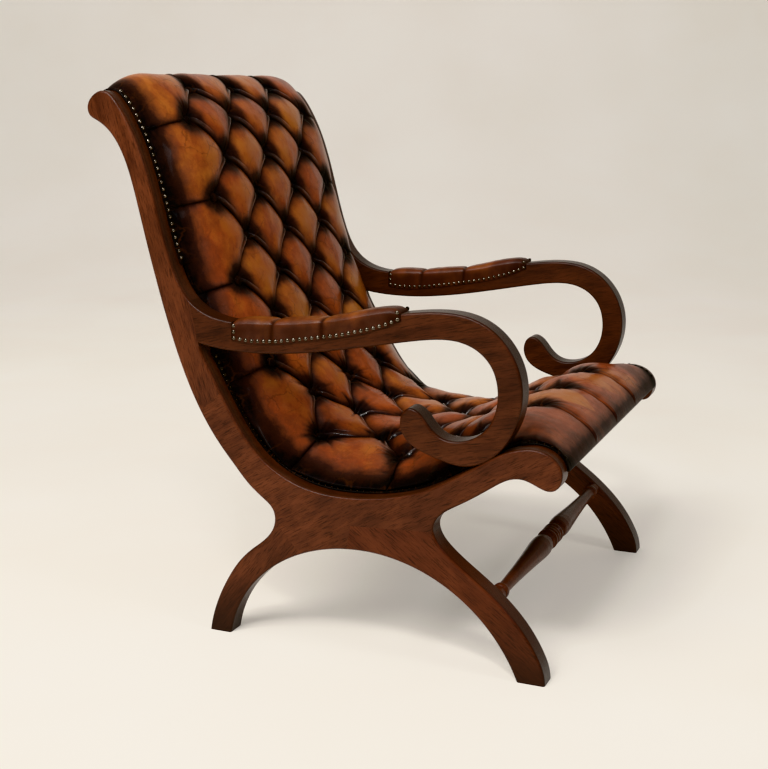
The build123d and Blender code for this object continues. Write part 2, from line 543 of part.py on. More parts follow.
COVER_LINE = [(113.0, 248.0), (80.0, 227.0), (40.0, 212.0), (0.0, 206.0), (-60.0, 204.0), (-120.0, 210.0),
              (-160.0, 226.0), (-185.0, 241.0), (-210.0, 257.0), (-240.0, 277.0), (-270.0, 295.0), (-300.0, 310.0),
              (-325.0, 317.0)]
dust_cover = sheet(COVER_LINE, 0.0, 1.2, INNER - 0.5, -1)

# ---------------------------------------------------------------- write every piece
pairs = {"back_stile": stile, "seat_rail": rail, "rear_leg": rear_leg, "front_leg": front_leg, "arm": arm,
         "arm_pad_leather": pad_leather, "arm_pad_stuffing": pad_stuffing}
for key, shape in pairs.items():
    write(shape, key + "_left")
    write(mirrored(shape), key + "_right")


def group(parts_):
    return Compound(children=list(parts_))


def solids_of(things):
    return [s_ for t_ in things for s_ in t_.solids()]


write(group(solids_of(frame_pins) + [mirrored(s_) for s_ in solids_of(frame_pins)]), "frame_dowels")
write(group(solids_of(rail_pins)), "cross_rail_dowels")
for key, (shape, _) in RAILS.items():
    write(shape, key)
write(stretcher, "front_stretcher")
write(group(solids_of(webbing)), "webbing")
write(hessian, "hessian")
write(back_stuffing, "back_stuffing")
write(seat_stuffing, "seat_stuffing")
write(back_leather, "back_leather")
write(seat_leather, "seat_leather")
write(group(solids_of(buttons["back"])), "back_buttons")
write(group(solids_of(buttons["seat"])), "seat_buttons")
write(group(solids_of(ties)), "button_ties")
write(group(solids_of(edge_nails)), "edge_nails_left")
write(group([mirrored(s_) for s_ in solids_of(edge_nails)]), "edge_nails_right")
write(group(solids_of(pad_nails)), "arm_pad_nails_left")
write(group([mirrored(s_) for s_ in solids_of(pad_nails)]), "arm_pad_nails_right")
write(outside_back, "outside_back")
write(group(solids_of(back_nails) + [mirrored(s_) for s_ in solids_of(back_nails)]), "outside_back_nails")
write(dust_cover, "dust_cover")

lo_ = [min(getattr(b_[0], k_) for b_ in LIMITS) for k_ in "XYZ"]
hi_ = [max(getattr(b_[1], k_) for b_ in LIMITS) for k_ in "XYZ"]
print("whole chair", [round(v, 2) for v in lo_], [round(v, 2) for v in hi_], "middle", [round((p_ + q_) / 2, 2) for p_, q_ in zip(lo_, hi_)])
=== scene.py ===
import math

import bpy
import numpy as np
from mathutils import Matrix, Vector


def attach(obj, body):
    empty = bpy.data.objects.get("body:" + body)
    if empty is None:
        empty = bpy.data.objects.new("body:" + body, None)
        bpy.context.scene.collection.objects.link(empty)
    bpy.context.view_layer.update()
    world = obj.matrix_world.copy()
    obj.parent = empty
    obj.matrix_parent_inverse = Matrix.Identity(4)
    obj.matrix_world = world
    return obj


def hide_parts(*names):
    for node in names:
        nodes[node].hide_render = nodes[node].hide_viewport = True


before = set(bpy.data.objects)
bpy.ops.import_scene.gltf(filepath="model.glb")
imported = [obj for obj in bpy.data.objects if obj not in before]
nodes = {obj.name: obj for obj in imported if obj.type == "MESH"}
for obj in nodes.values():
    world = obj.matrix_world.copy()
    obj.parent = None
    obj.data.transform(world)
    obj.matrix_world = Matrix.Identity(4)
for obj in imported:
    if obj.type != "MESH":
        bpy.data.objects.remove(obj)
RNG = np.random.default_rng(7)
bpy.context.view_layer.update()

# ---------------------------------------------------------------- dimensions, mm (as in the solid model)
WIDTH, FRAME_T, INNER = 670.0, 36.0, 299.0
MID = 317.0
HEM_TOP = 3.9
Y_SHIFT = 1.47
EDGE = 309.5
BASE = [(374.9, 817.0), (385.2, 823.8), (388.5, 833.1), (387.2, 842.0), (381.7, 850.6), (373.0, 857.5), (362.6, 861.1),
        (350.9, 859.5), (339.1, 849.7), (321.5, 824.1), (306.0, 794.2), (293.4, 762.9), (283.1, 730.8), (274.2, 698.3),
        (266.0, 665.5), (257.6, 632.9), (247.9, 600.6), (237.0, 567.5), (225.2, 533.5), (211.8, 498.4), (197.6, 464.2),
        (182.9, 434.7), (167.0, 404.9), (150.5, 375.3), (132.9, 346.4), (112.7, 319.3), (88.6, 295.6), (60.4, 276.9),
        (29.3, 263.8), (-3.7, 256.3), (-37.4, 253.8), (-71.2, 255.1), (-104.8, 259.2), (-137.9, 266.1),
        (-170.3, 276.6), (-201.5, 291.6), (-231.7, 309.2), (-261.6, 327.4), (-290.8, 345.2), (-319.7, 357.0),
        (-344.6, 360.4), (-365.7, 355.5), (-380.0, 345.1), (-387.0, 333.2), (-388.2, 320.7), (-384.8, 309.9),
        (-378.9, 303.1)]
ROWS = [(28, 3, 22), (80, 4, 28), (145, 3, 31), (206, 4, 33), (277, 3, 35), (348, 4, 35), (421, 3, 37), (498, 4, 36),
        (577, 3, 41), (666, 4, 35), (772, 3, 37), (838, 4, 30), (915, 3, 34), (990, 4, 32), (1060, 3, 28)]
CROWN = [(-70, 4.6), (-56, 6.0), (-40, 9.0), (-28, 14), (-12, 22), (0, 28), (30, 36), (60, 42), (100, 47), (200, 50),
         (350, 51), (500, 53), (600, 58), (700, 61), (800, 57), (900, 52.5), (1000, 50), (1040, 45), (1070, 36),
         (1088, 26.5), (1104, 17), (1120, 9.0), (1134, 5.6), (1146, 4.6), (1160, 4.3), (1170, 4.2)]


# ---------------------------------------------------------------- small numeric tools
def spline(xs, ys):
    """Natural cubic spline through (xs, ys); returns value and slope functions."""
    xs, ys = np.asarray(xs, float), np.asarray(ys, float)
    n = len(xs)
    h = np.diff(xs)
    A = np.zeros((n, n))
    b = np.zeros(n)
    A[0, 0] = A[-1, -1] = 1.0
    for i in range(1, n - 1):
        A[i, i - 1], A[i, i], A[i, i + 1] = h[i - 1], 2 * (h[i - 1] + h[i]), h[i]
        b[i] = 6 * ((ys[i + 1] - ys[i]) / h[i] - (ys[i] - ys[i - 1]) / h[i - 1])
    m = np.linalg.solve(A, b)

    def value(x):
        x = np.asarray(x, float)
        i = np.clip(np.searchsorted(xs, x) - 1, 0, n - 2)
        t, u = x - xs[i], xs[i + 1] - x
        return (m[i] * u ** 3 + m[i + 1] * t ** 3) / (6 * h[i]) + (ys[i] / h[i] - m[i] * h[i] / 6) * u + (
            ys[i + 1] / h[i] - m[i + 1] * h[i] / 6) * t

    def slope(x):
        x = np.asarray(x, float)
        i = np.clip(np.searchsorted(xs, x) - 1, 0, n - 2)
        t, u = x - xs[i], xs[i + 1] - x
        return (-m[i] * u ** 2 + m[i + 1] * t ** 2) / (2 * h[i]) - (ys[i] / h[i] - m[i] * h[i] / 6) + (
            ys[i + 1] / h[i] - m[i + 1] * h[i] / 6)

    return value, slope


def curve_of(points):
    """Arc-length curve through (Y, Z) points: position and unit tangent functions, and length."""
    p = np.asarray(points, float)
    d = np.r_[0, np.cumsum(np.linalg.norm(np.diff(p, axis=0), axis=1))]
    for _ in range(2):
        fy, gy = spline(d, p[:, 0])
        fz, gz = spline(d, p[:, 1])
        fine = np.linspace(0, d[-1], 8000)
        q = np.stack([fy(fine), fz(fine)], 1)
        arc = np.r_[0, np.cumsum(np.linalg.norm(np.diff(q, axis=0), axis=1))]
        d = np.interp(d, fine, arc)

    def pos(s):
        return np.stack([fy(s), fz(s)], -1)

    def tan(s):
        t = np.stack([gy(s), gz(s)], -1)
        return t / np.linalg.norm(t, axis=-1, keepdims=True)

    fy, gy = spline(d, p[:, 0])
    fz, gz = spline(d, p[:, 1])
    return pos, tan, d[-1]


base_pos, base_tan, base_len = curve_of(BASE)
_scan = np.linspace(30, 110, 1601)
TOP_AT = _scan[np.argmax(base_pos(_scan)[:, 1])]


def line_at(s):
    """Point on the upholstery line, tangent, and outward normal at s from the highest point."""
    p, t = base_pos(np.asarray(s) + TOP_AT), base_tan(np.asarray(s) + TOP_AT)
    return p, t, np.stack([t[..., 1], -t[..., 0]], -1)


def value_noise(x, y, seed, octaves=1, gain=0.5):
    """Smooth noise in about -1..1 over two arrays."""
    out, amp, tot = 0.0, 1.0, 0.0
    for o in range(octaves):
        g = np.random.default_rng(seed + 17 * o).uniform(-1, 1, (67, 71))
        xi, yi = np.floor(x).astype(int), np.floor(y).astype(int)
        fx, fy = x - xi, y - yi
        fx, fy = fx * fx * (3 - 2 * fx), fy * fy * (3 - 2 * fy)
        a, b = g[xi % 67, yi % 71], g[(xi + 1) % 67, yi % 71]
        c, d = g[xi % 67, (yi + 1) % 71], g[(xi + 1) % 67, (yi + 1) % 71]
        out = out + amp * ((a * (1 - fx) + b * fx) * (1 - fy) + (c * (1 - fx) + d * fx) * fy)
        tot += amp
        amp *= gain
        x, y = x * 2.03 + 5.1, y * 2.03 + 9.7
    return out / tot


def smooth01(a, b, x):
    t = np.clip((x - a) / (b - a), 0, 1)
    return t * t * (3 - 2 * t)


def make_mesh(name, verts, faces, attributes=None, smooth=True, shift=True):
    """A mesh object from arrays in mm; attributes are per-vertex floats."""
    v = np.asarray(verts, float).copy()
    if shift:
        v[:, 1] += Y_SHIFT
    v *= 0.001
    faces = np.asarray(faces, np.int32)
    k = faces.shape[1]
    me = bpy.data.meshes.new(name)
    me.vertices.add(len(v))
    me.vertices.foreach_set("co", v.astype(np.float32).ravel())
    me.loops.add(len(faces) * k)
    me.loops.foreach_set("vertex_index", faces.ravel())
    me.polygons.add(len(faces))
    me.polygons.foreach_set("loop_start", np.arange(0, len(faces) * k, k, dtype=np.int32))
    me.polygons.foreach_set("loop_total", np.full(len(faces), k, np.int32))
    me.update(calc_edges=True)
    if smooth:
        me.polygons.foreach_set("use_smooth", np.ones(len(faces), bool))
    for key, val in (attributes or {}).items():
        a = me.attributes.new(key, "FLOAT", "POINT")
        a.data.foreach_set("value", np.asarray(val, np.float32))
    me.validate()
    me.update()
    ob = bpy.data.objects.new(name, me)
    bpy.context.scene.collection.objects.link(ob)
    return ob


def grid_faces(nr, nc, closed=False):
    """Quads of an nr by nc grid of vertices, row-major."""
    i, j = np.meshgrid(np.arange(nr - 1), np.arange(nc if closed else nc - 1), indexing="ij")
    a = i * nc + j
    b = i * nc + (j + 1) % nc
    return np.stack([a, b, b + nc, a + nc], -1).reshape(-1, 4)


# ---------------------------------------------------------------- the deep-buttoned leather
N = 44
row_s = [r[0] for r in ROWS]
s_list, rho_list = [], []
for k in range(60):
    s_list.append(-58 + 86 * k / 60)
    rho_list.append((s_list[-1] - 28) / 56)
for i in range(len(ROWS) - 1):
    for k in range(N):
        s_list.append(row_s[i] + (row_s[i + 1] - row_s[i]) * k / N)
        rho_list.append(i + k / N)
for k in range(73):
    s_list.append(1060 + 106 * k / 72)
    rho_list.append(14 + (s_list[-1] - 1060) / 70)
s_arr, rho = np.array(s_list), np.array(rho_list)
kx = np.arange(-195, 196)
x_arr = kx * 70.0 / N
x_arr[0], x_arr[-1] = -EDGE, EDGE
NR, NC = len(s_arr), len(x_arr)
S, X = np.meshgrid(s_arr, x_arr, indexing="ij")
R_, _ = np.meshgrid(rho, x_arr, indexing="ij")

spots = []
for s, count, h in ROWS:
    for x in ((-210.0, -70.0, 70.0, 210.0) if count == 4 else (-140.0, 0.0, 140.0)):
        spots.append((s, x, h))
crown_s, crown_h = zip(*CROWN)


def crown(s):
    return np.interp(s, crown_s, crown_h)


def envelope(s, x):
    """Height of the puffs' tops over the line."""
    body = smooth01(10, 80, s) * (1 - smooth01(960, 1070, s))
    c = crown(s) - HEM_TOP - 0.5 + 2.5 * body
    ax = np.abs(x)
    inside = np.maximum(299.0 - ax, 0)
    # the far end of the front roll is stuffed less full than the near one
    slack = smooth01(1052, 1092, s) * (x > 0)
    edge = 0.15 + (0.40 + 0.07 * body - 0.15 * slack) * inside + (1.5 + 5.5 * body) * (1 - 0.5 * slack) * (1 - np.exp(-inside / 7.0))
    c = np.maximum(c, 0.3)
    return HEM_TOP + (c ** -4.5 + edge ** -4.5) ** (-1 / 4.5)


E = envelope(S, X)
button_h = {(s, x): h for s, x, h in spots}

# crease lines: (s0, x0, s1, x1, depth at start, in the middle, at end, kind)
creases = []
for i in range(len(ROWS) - 1):
    for (s, x, h) in [p for p in spots if p[0] == row_s[i]]:
        for (s2, x2, h2) in [p for p in spots if p[0] == row_s[i + 1]]:
            if abs(abs(x2 - x) - 70) < 1:
                creases.append((s, x, s2, x2, "diag"))
for i, (s, count, h) in enumerate(ROWS):
    if count == 4:
        for sx in (-1, 1):
            creases.append((s, 210.0 * sx, s + (3.0 if s < 600 else 8.0), 303.0 * sx, "side"))
for x in (-140.0, 0.0, 140.0):
    creases.append((28.0, x, -62.0, x, "top"))
    creases.append((1060.0, x, 1170.0, x, "front"))

bow_s, bow_x = np.zeros_like(S), np.zeros_like(S)
ridge = np.zeros_like(S)
ridge_line = np.zeros_like(S)
D_pow = np.zeros_like(S)
near = np.full_like(S, 1e9)          # distance to the nearest crease
lift_up = np.zeros_like(S)
push = np.zeros_like(S)              # along +s
push_x = np.zeros_like(S)
tight = np.zeros_like(S)
W = 47.0
for (s0, x0, s1, x1, kind) in creases:
    ds, dx = s1 - s0, x1 - x0
    L2 = ds * ds + dx * dx
    pad = 60
    m = (S > min(s0, s1) - pad) & (S < max(s0, s1) + pad) & (X > min(x0, x1) - pad) & (X < max(x0, x1) + pad)
    Sm, Xm = S[m], X[m]
    t = np.clip(((Sm - s0) * ds + (Xm - x0) * dx) / L2, 0, 1)
    d = np.hypot(Sm - (s0 + t * ds), Xm - (x0 + t * dx))
    e_here = envelope(s0 + t * ds, x0 + t * dx)
    h0 = e_here - button_h[(s0, x0)]
    if kind == "diag":
        h1 = e_here - button_h[(s1, x1)]
        mid = 15.5 if s0 < 490 else 20.0
        u = np.abs(2 * t - 1)
        ends = np.where(t < 0.5, h0, h1)
        depth = mid + (np.maximum(ends, mid) - mid) * u ** 2.6
        win = smooth01(0.05, 0.3, t) * smooth01(0.05, 0.3, 1 - t)
    elif kind == "side":
        depth = np.maximum(h0, 0) * (1 - t) ** 1.7 + (6.5 if s0 < 600 else 8.0) * (1 - (1 - t) ** 1.7)
        depth = np.minimum(depth, np.maximum(e_here - HEM_TOP - 0.4, 0.0))
        win = smooth01(0.06, 0.3, t) * (1 - smooth01(0.86, 1.0, t))
    elif kind == "top":
        depth = np.maximum(h0, 0) * (1 - t) ** 1.6 + 5.0 * (1 - (1 - t) ** 1.6)
        depth = np.minimum(depth, np.maximum(e_here - HEM_TOP - 0.4, 0.0))
        win = smooth01(0.06, 0.3, t) * (1 - smooth01(0.8, 1.0, t))
    else:
        depth = np.maximum(h0, 0) * (1 - t) ** 2.2 + 8.5 * (1 - (1 - t) ** 2.2)
        depth = np.minimum(depth, np.maximum(e_here - HEM_TOP - 0.4, 0.0))
        win = smooth01(0.06, 0.3, t) * (1 - smooth01(0.85, 1.0, t))
    depth = np.maximum(depth, 0)
    # side of the crease: the leather above it laps over the leather below it
    if kind == "diag":
        upper = (s0 + (Xm - x0) / dx * ds) - Sm > 0
    elif kind == "side":
        upper = Sm < (s0 + t * ds)
    elif kind == "top":
        upper = Xm * (1 if x0 >= 0 else -1) > abs(x0) if x0 else Xm > 0
    else:
        upper = Xm < x0
    w = W if kind in ("diag", "side") else 40.0
    if kind in ("top", "front"):
        w = 30.0
    un = np.minimum(d / w, 1.0)
    q_up = np.sqrt(np.maximum(1 - (1 - un) ** 2, 0))
    q_low = 1 - (1 - un) ** 1.75
    fold = np.where(upper, q_up, q_up * (1 - win * 0.75 * np.exp(-d / 9.0)) + q_low * win * 0.75 * np.exp(-d / 9.0))
    D = depth * (1 - fold)
    D_pow[m] += D ** 3.2
    lip = win * np.where(upper, np.exp(-(d / 6.0) ** 2) * (1 - np.exp(-d / 0.7)), 0)
    nlen = math.sqrt(L2)
    nx_, ns_ = -ds / nlen, dx / nlen            # unit normal in (x, s)
    if kind == "diag" and ns_ < 0 or kind == "side" and ns_ < 0:
        nx_, ns_ = -nx_, -ns_                    # towards larger s
    if kind == "top":
        nx_, ns_ = (-1.0 if x0 >= 0 else 1.0), 0.0
        if x0 == 0:
            nx_ = -1.0
    if kind == "front":
        nx_, ns_ = 1.0, 0.0
    amount = 4.6 * win * np.where(upper, (1 - np.exp(-d / 0.9)) * np.exp(-d / 6.5), 0)
    lift_up[m] = np.maximum(lift_up[m], 1.9 * lip)
    if kind in ("top", "front"):
        run = smooth01(0.1, 0.3, t) * (1 - smooth01(0.8, 0.98, t))
        lift_up[m] = np.maximum(lift_up[m], run * np.where(upper, 2.6 * np.exp(-((d - 4.5) / 3.4) ** 2), 0))
        ridge_line[m] = np.maximum(ridge_line[m], run * np.where(upper, np.exp(-((d - 10.5) / 1.5) ** 2), 0))
    if kind == "diag":
        field = 8.0 * np.sin(math.pi * t) * np.exp(-(d / 24.0) ** 2)
        bow_s[m] -= field * abs(dx) / math.sqrt(L2)
        bow_x[m] += field * (ds if dx > 0 else -ds) / math.sqrt(L2)
        along_ = np.exp(-((t - 0.16) / 0.13) ** 2) + 0.45 * np.exp(-((t - 0.36) / 0.16) ** 2)
        ridge[m] = np.maximum(ridge[m], np.where(upper, 2.6 * along_ * np.exp(-((d - 5.0) / 2.1) ** 2), 0))
        ridge_line[m] = np.maximum(ridge_line[m], np.where(upper, along_ * np.exp(-((d - 9.2) / 1.5) ** 2), 0))
    push[m] += amount * ns_
    push_x[m] += amount * nx_
    near[m] = np.minimum(near[m], d)

D_all = D_pow ** (1 / 3.2)
# pits round the buttons and their gathers
r_near = np.full_like(S, 1e9)
gather = np.zeros_like(S)
for n_, (s, x, h) in enumerate(spots):
    m = (np.abs(S - s) < 60) & (np.abs(X - x) < 60)
    r = np.hypot(S[m] - s, X[m] - x)
    r_near[m] = np.minimum(r_near[m], r)
    e0 = envelope(s, x) - h
    D_b = (e0 + 2.0) * np.exp(-(r / (15.5 if s < 490 else 22.0)) ** 1.5)
    D_all[m] = (D_all[m] ** 4 + D_b ** 4) ** 0.25
    D_all[m] = np.minimum(D_all[m], np.maximum(E[m] - h + 1.2, 0) + np.maximum(r - 7, 0) * 2.0)
    theta = np.arctan2(S[m] - s, X[m] - x)
    g = np.random.default_rng(100 + n_)
    seat = s > 560
    for _ in range(22 if seat else 11):
        th, wd = g.uniform(-math.pi, math.pi), g.uniform(0.05, 0.10)
        reach, amp = g.uniform(20, 50 if seat else 30), g.uniform(0.6, 2.4 if seat else 1.1)
        da = np.abs((theta - th + math.pi) % (2 * math.pi) - math.pi)
        width = wd * (1 + 3.0 * np.exp(-(r / 12.0)))
        gather[m] += amp * np.exp(-(da / width) ** 2) * smooth01(7, 12, r) * np.exp(-(r / reach) ** 2.4)
H = E - D_all + lift_up + ridge - 1.4 * ridge_line - np.minimum(gather, 3.4)
# broad unevenness of a stuffed leather
broad = value_noise(S / 55.0 + 3, X / 60.0 + 9, 11, 2) * 1.6 + value_noise(S / 18.0, X / 21.0 + 4, 23, 2) * 0.45
H += broad * smooth01(4, 26, near) * smooth01(HEM_TOP + 2, HEM_TOP + 16, E)
flat = np.abs(X) > 299.0
H = np.where(flat, np.minimum(H, HEM_TOP), np.maximum(H, HEM_TOP - 0.2))
H = np.where(S > 1158, np.minimum(H, np.interp(S, [1158, 1166], [5.0, HEM_TOP])), H)
H = np.where(S < -52, np.minimum(H, np.interp(S, [-58, -52], [HEM_TOP, 7.0])), H)

# pull the lap in where the arm and its scroll join the frame
Pb, Tb, Nb = line_at(s_arr)
zc, yc = Pb[:, 1], Pb[:, 0]


def window(lo, hi, v, soft):
    return smooth01(lo - soft, lo, v) * (1 - smooth01(hi, hi + soft, v))


pull = np.maximum(window(463.0, 590.0, zc, 5.0) * (yc > 120), window(-316.0, -210.0, yc, 5.0) * (zc < 420))
pull = pull[:, None] * np.ones_like(X)
ax = np.abs(X)
target = np.where(ax > 286.0, 286.0 + (ax - 286.0) * (298.1 - 286.0) / (EDGE - 286.0), ax)
Xn = np.sign(X) * (ax * (1 - pull) + target * pull)
H = np.where((pull > 0.5) & (ax > 303), np.minimum(H, HEM_TOP - (ax - 303) * 0.35), H)

u_out = np.clip(299.0 - ax, 0, 60) / 6.0
full_to = np.where(X < 0, 1140.0, 985.0)
swell = np.where(S > 1040, 12.5, 16.5) * u_out * np.exp(1 - u_out) * smooth01(560, 640, S) * (1 - smooth01(0, 24, S - full_to))
away = np.maximum(window(448.0, 605.0, zc, 14.0) * (yc > 120), window(-334.0, -192.0, yc, 14.0) * (zc < 420))[:, None]
swell = swell * (1 - away)
Xn = Xn + np.sign(X) * swell
s_shift = np.clip(push, -6, 6) + bow_s
x_shift = np.clip(push_x, -6, 6) + bow_x
s_new = S + s_shift
X_new = Xn + np.where(ax < 296, x_shift, 0)
P, T, Nrm = line_at(s_new)
V = np.stack([X_new, P[..., 0] + Nrm[..., 0] * H, P[..., 1] + Nrm[..., 1] * H], -1)

# shading values: antique dye worked into the creases, pits, gathers, fold lines, hollows, nail line and tucked ends,
# plus painted shade in the same places, darkest where the leather sinks deepest
pleat_dye_and_shade = 0.60 * np.exp(-(near / 7.0) ** 1.25) + 0.36 * np.exp(-(near / 2.4) ** 1.5)
pit_dye_and_shade = np.exp(-(r_near / np.where(S < 490, 28.0, 30.5)) ** 3.4)
side_dist = EDGE - np.abs(X)
nail_line_dye_and_shade = np.exp(-(side_dist / (37.0 - 15.0 * smooth01(1000, 1060, S))) ** 3.0)
depth_dye_and_shade = np.clip(D_all / 24.0, 0, 1)
end_dye_and_shade = np.exp(-np.maximum(S + 45, 0) / 18.0) + 0.8 * np.exp(-np.maximum(1150 - S, 0) / 15.0)
dark = 1 - (1 - 0.93 * pleat_dye_and_shade * smooth01(0.6, 3.0, D_all)) * (1 - pit_dye_and_shade) * (1 - 0.92 * nail_line_dye_and_shade) * (
    1 - 0.60 * depth_dye_and_shade ** 1.3) * (1 - 0.5 * ridge_line) * (1 - 0.58 * np.clip(gather / 1.8, 0, 1)) * (1 - 0.7 * np.clip(end_dye_and_shade, 0, 1))
# painted highlight: the fold lips beside the buttons, away from the pits, are made lighter
dark = dark * (1 - 0.38 * np.clip(ridge / 2.4, 0, 1) * (1 - 0.8 * np.exp(-(r_near / 19.0) ** 4)))
# painted shade over the outer puffs of the seat; the outer puffs of the back are made a little darker too
dark = dark + 0.15 * smooth01(195, 240, np.abs(X)) * smooth01(560, 650, S) + 0.07 * smooth01(195, 240, np.abs(X)) * (1 - smooth01(500, 560, S))
dark = np.clip(dark + 0.10 * value_noise(S / 30.0, X / 34.0, 41, 2) * (dark > 0.05), 0, 1)
cell_mid = value_noise(np.floor((R_ + X / 70.0) / 2) * 7.31 + 0.5, np.floor((R_ - X / 70.0) / 2) * 5.17 + 0.5, 77)
cell_side = value_noise(np.floor((R_ - 1) / 2) * 6.13 + 0.5, np.sign(X) * 3.0 + 9.5, 78)
# the wide puffs at the sides reach in to the outermost pleats
zig = 210.0 + 70.0 * (np.abs(((R_ - 1) % 2) - 1) - 1.0)
cellid = np.where(np.abs(X) > zig, cell_side + 0.28, cell_mid) + 0.4 * smooth01(470, 640, S)

# triangles that follow the creases
ii, jj = np.meshgrid(np.arange(NR - 1), np.arange(NC - 1), indexing="ij")
a = ii * NC + jj
rc = (rho[ii] + rho[ii + 1]) / 2
xc = (x_arr[jj] + x_arr[jj + 1]) / 140.0
down = np.abs(((rc - xc) % 2 + 1) % 2 - 1)       # distance to a crease running towards +s +x
up = np.abs(((rc + xc) % 2 + 1) % 2 - 1)
main = (down <= up)
v00, v01, v10, v11 = a, a + 1, a + NC, a + NC + 1
t1 = np.where(main[..., None], np.stack([v00, v01, v11], -1), np.stack([v00, v01, v10], -1))
t2 = np.where(main[..., None], np.stack([v00, v11, v10], -1), np.stack([v01, v11, v10], -1))
tris = np.concatenate([t1.reshape(-1, 3), t2.reshape(-1, 3)])
verts = V.reshape(-1, 3)
attr = {"dark": dark.ravel(), "puff": cellid.ravel(), "along": (S / 1000).ravel(), "across": (X / 1000).ravel(),
        "pit": (np.clip(ridge / 2.2, 0, 1) * (1 - np.exp(-(r_near / 13.0) ** 2))).ravel()}
# hem: the edge goes down to the wood
rim = np.concatenate([np.arange(NC), np.arange(1, NR) * NC + NC - 1, (NR - 1) * NC + np.arange(NC - 2, -1, -1),
                      np.arange(NR - 2, 0, -1) * NC])
rs, rx = S.ravel()[rim], X_new.ravel()[rim]
pr, tr, nr_ = line_at(rs)
low = np.stack([rx, pr[:, 0] + nr_[:, 0] * 0.8, pr[:, 1] + nr_[:, 1] * 0.8], -1)
k0 = len(verts)
verts = np.vstack([verts, low])
nxt = np.roll(np.arange(len(rim)), -1)
idx = np.arange(len(rim))
hem = np.concatenate([np.stack([rim[idx], k0 + idx, k0 + nxt[idx]], -1), np.stack([rim[idx], k0 + nxt[idx], rim[nxt[idx]]], -1)])
tris = np.vstack([tris, hem])
for key in attr:
    attr[key] = np.r_[attr[key], attr[key][rim]]


def part_of(tris_, keep_face):
    return tris_[keep_face]


SPLIT = 622.0
row_split = int(np.argmin(np.abs(s_arr - SPLIT)))
tri_row = np.minimum.reduce([np.where(tris[:, k] < k0, tris[:, k] // NC, rim[np.clip(tris[:, k] - k0, 0, len(rim) - 1)] // NC)
                             for k in range(3)])
upper_faces = tri_row < row_split


def submesh(name, faces):
    used, inv = np.unique(faces.ravel(), return_inverse=True)
    return make_mesh(name, verts[used], inv.reshape(-1, 3), {k_: v_[used] for k_, v_ in attr.items()})


# the outward side of the triangles faces away from the line
back_leather = submesh("leather_back", tris[upper_faces])
seat_leather = submesh("leather_seat", tris[~upper_faces])


# ---------------------------------------------------------------- buttons
def button_mesh(name, chosen):
    vs, fs, dk = [], [], []
    rings = [(0.0, 6.0), (1.6, 5.9), (3.2, 5.5), (4.8, 4.9), (6.2, 4.0), (7.3, 2.9), (8.1, 1.6), (8.5, 0.2), (8.4, -1.4), (7.6, -2.2)]
    seg = 28
    for s, x, h in chosen:
        p, t, n = line_at(s)
        o = np.array([x, *(p + n * (h - 1.2))])
        e1, e2, e3 = np.array([1.0, 0, 0]), np.array([0, t[0], t[1]]), np.array([0, n[0], n[1]])
        k = sum(len(v) for v in vs)
        pts = [o + e3 * rings[0][1]]
        for r, z in rings[1:]:
            for q in range(seg):
                a_ = 2 * math.pi * q / seg
                pts.append(o + e1 * r * math.cos(a_) + e2 * r * math.sin(a_) + e3 * z)
        vs.append(np.array(pts))
        for q in range(seg):
            fs.append((k, k + 1 + q, k + 1 + (q + 1) % seg, k + 1 + (q + 1) % seg))
        for ri in range(len(rings) - 2):
            b0 = k + 1 + ri * seg
            for q in range(seg):
                fs.append((b0 + q, b0 + seg + q, b0 + seg + (q + 1) % seg, b0 + (q + 1) % seg))
        # painted shade: the buttons sit deep in the pits, so their colour is made dark, darkest at the rim and raised
        # further below
        dk.append(np.array([0.74] + [0.74 + 0.26 * (r / 8.5) ** 2 for r, z in rings[1:] for _ in range(seg)]))
    v = np.vstack(vs)
    quads = [f for f in fs if f[2] != f[3]]
    tri = [f[:3] for f in fs if f[2] == f[3]]
    f3 = np.array(tri + [(q[0], q[1], q[2]) for q in quads] + [(q[0], q[2], q[3]) for q in quads])
    z = np.zeros(len(v))
    return make_mesh(name, v, f3, {"dark": np.clip(np.concatenate(dk) + 0.35, 0, 0.95), "puff": z, "along": v[:, 1] / 1000, "across": v[:, 0] / 1000, "pit": z})


back_buttons = button_mesh("buttons_back", [p for p in spots if p[0] < SPLIT])
seat_buttons = button_mesh("buttons_seat", [p for p in spots if p[0] >= SPLIT])

# ---------------------------------------------------------------- arm pads
PAD_Y0, PAD_Y1 = -139.3, 140.3
pad_top, _ = spline([-139.0, -128.0, -112.0, -79.0, -46.0, -12.0, 21.0, 54.0, 92.0, 118.0, 140.0],
                    [549.6, 551.0, 549.6, 543.0, 535.2, 529.4, 525.0, 521.6, 519.6, 518.6, 516.6])
pad_low, _ = spline([-139.0, -123.0, -99.0, -43.0, 15.0, 66.0, 109.0, 140.0],
                    [533.2, 526.0, 517.0, 502.4, 492.6, 484.6, 482.3, 485.0])
PLEATS = (70.0, -15.0)


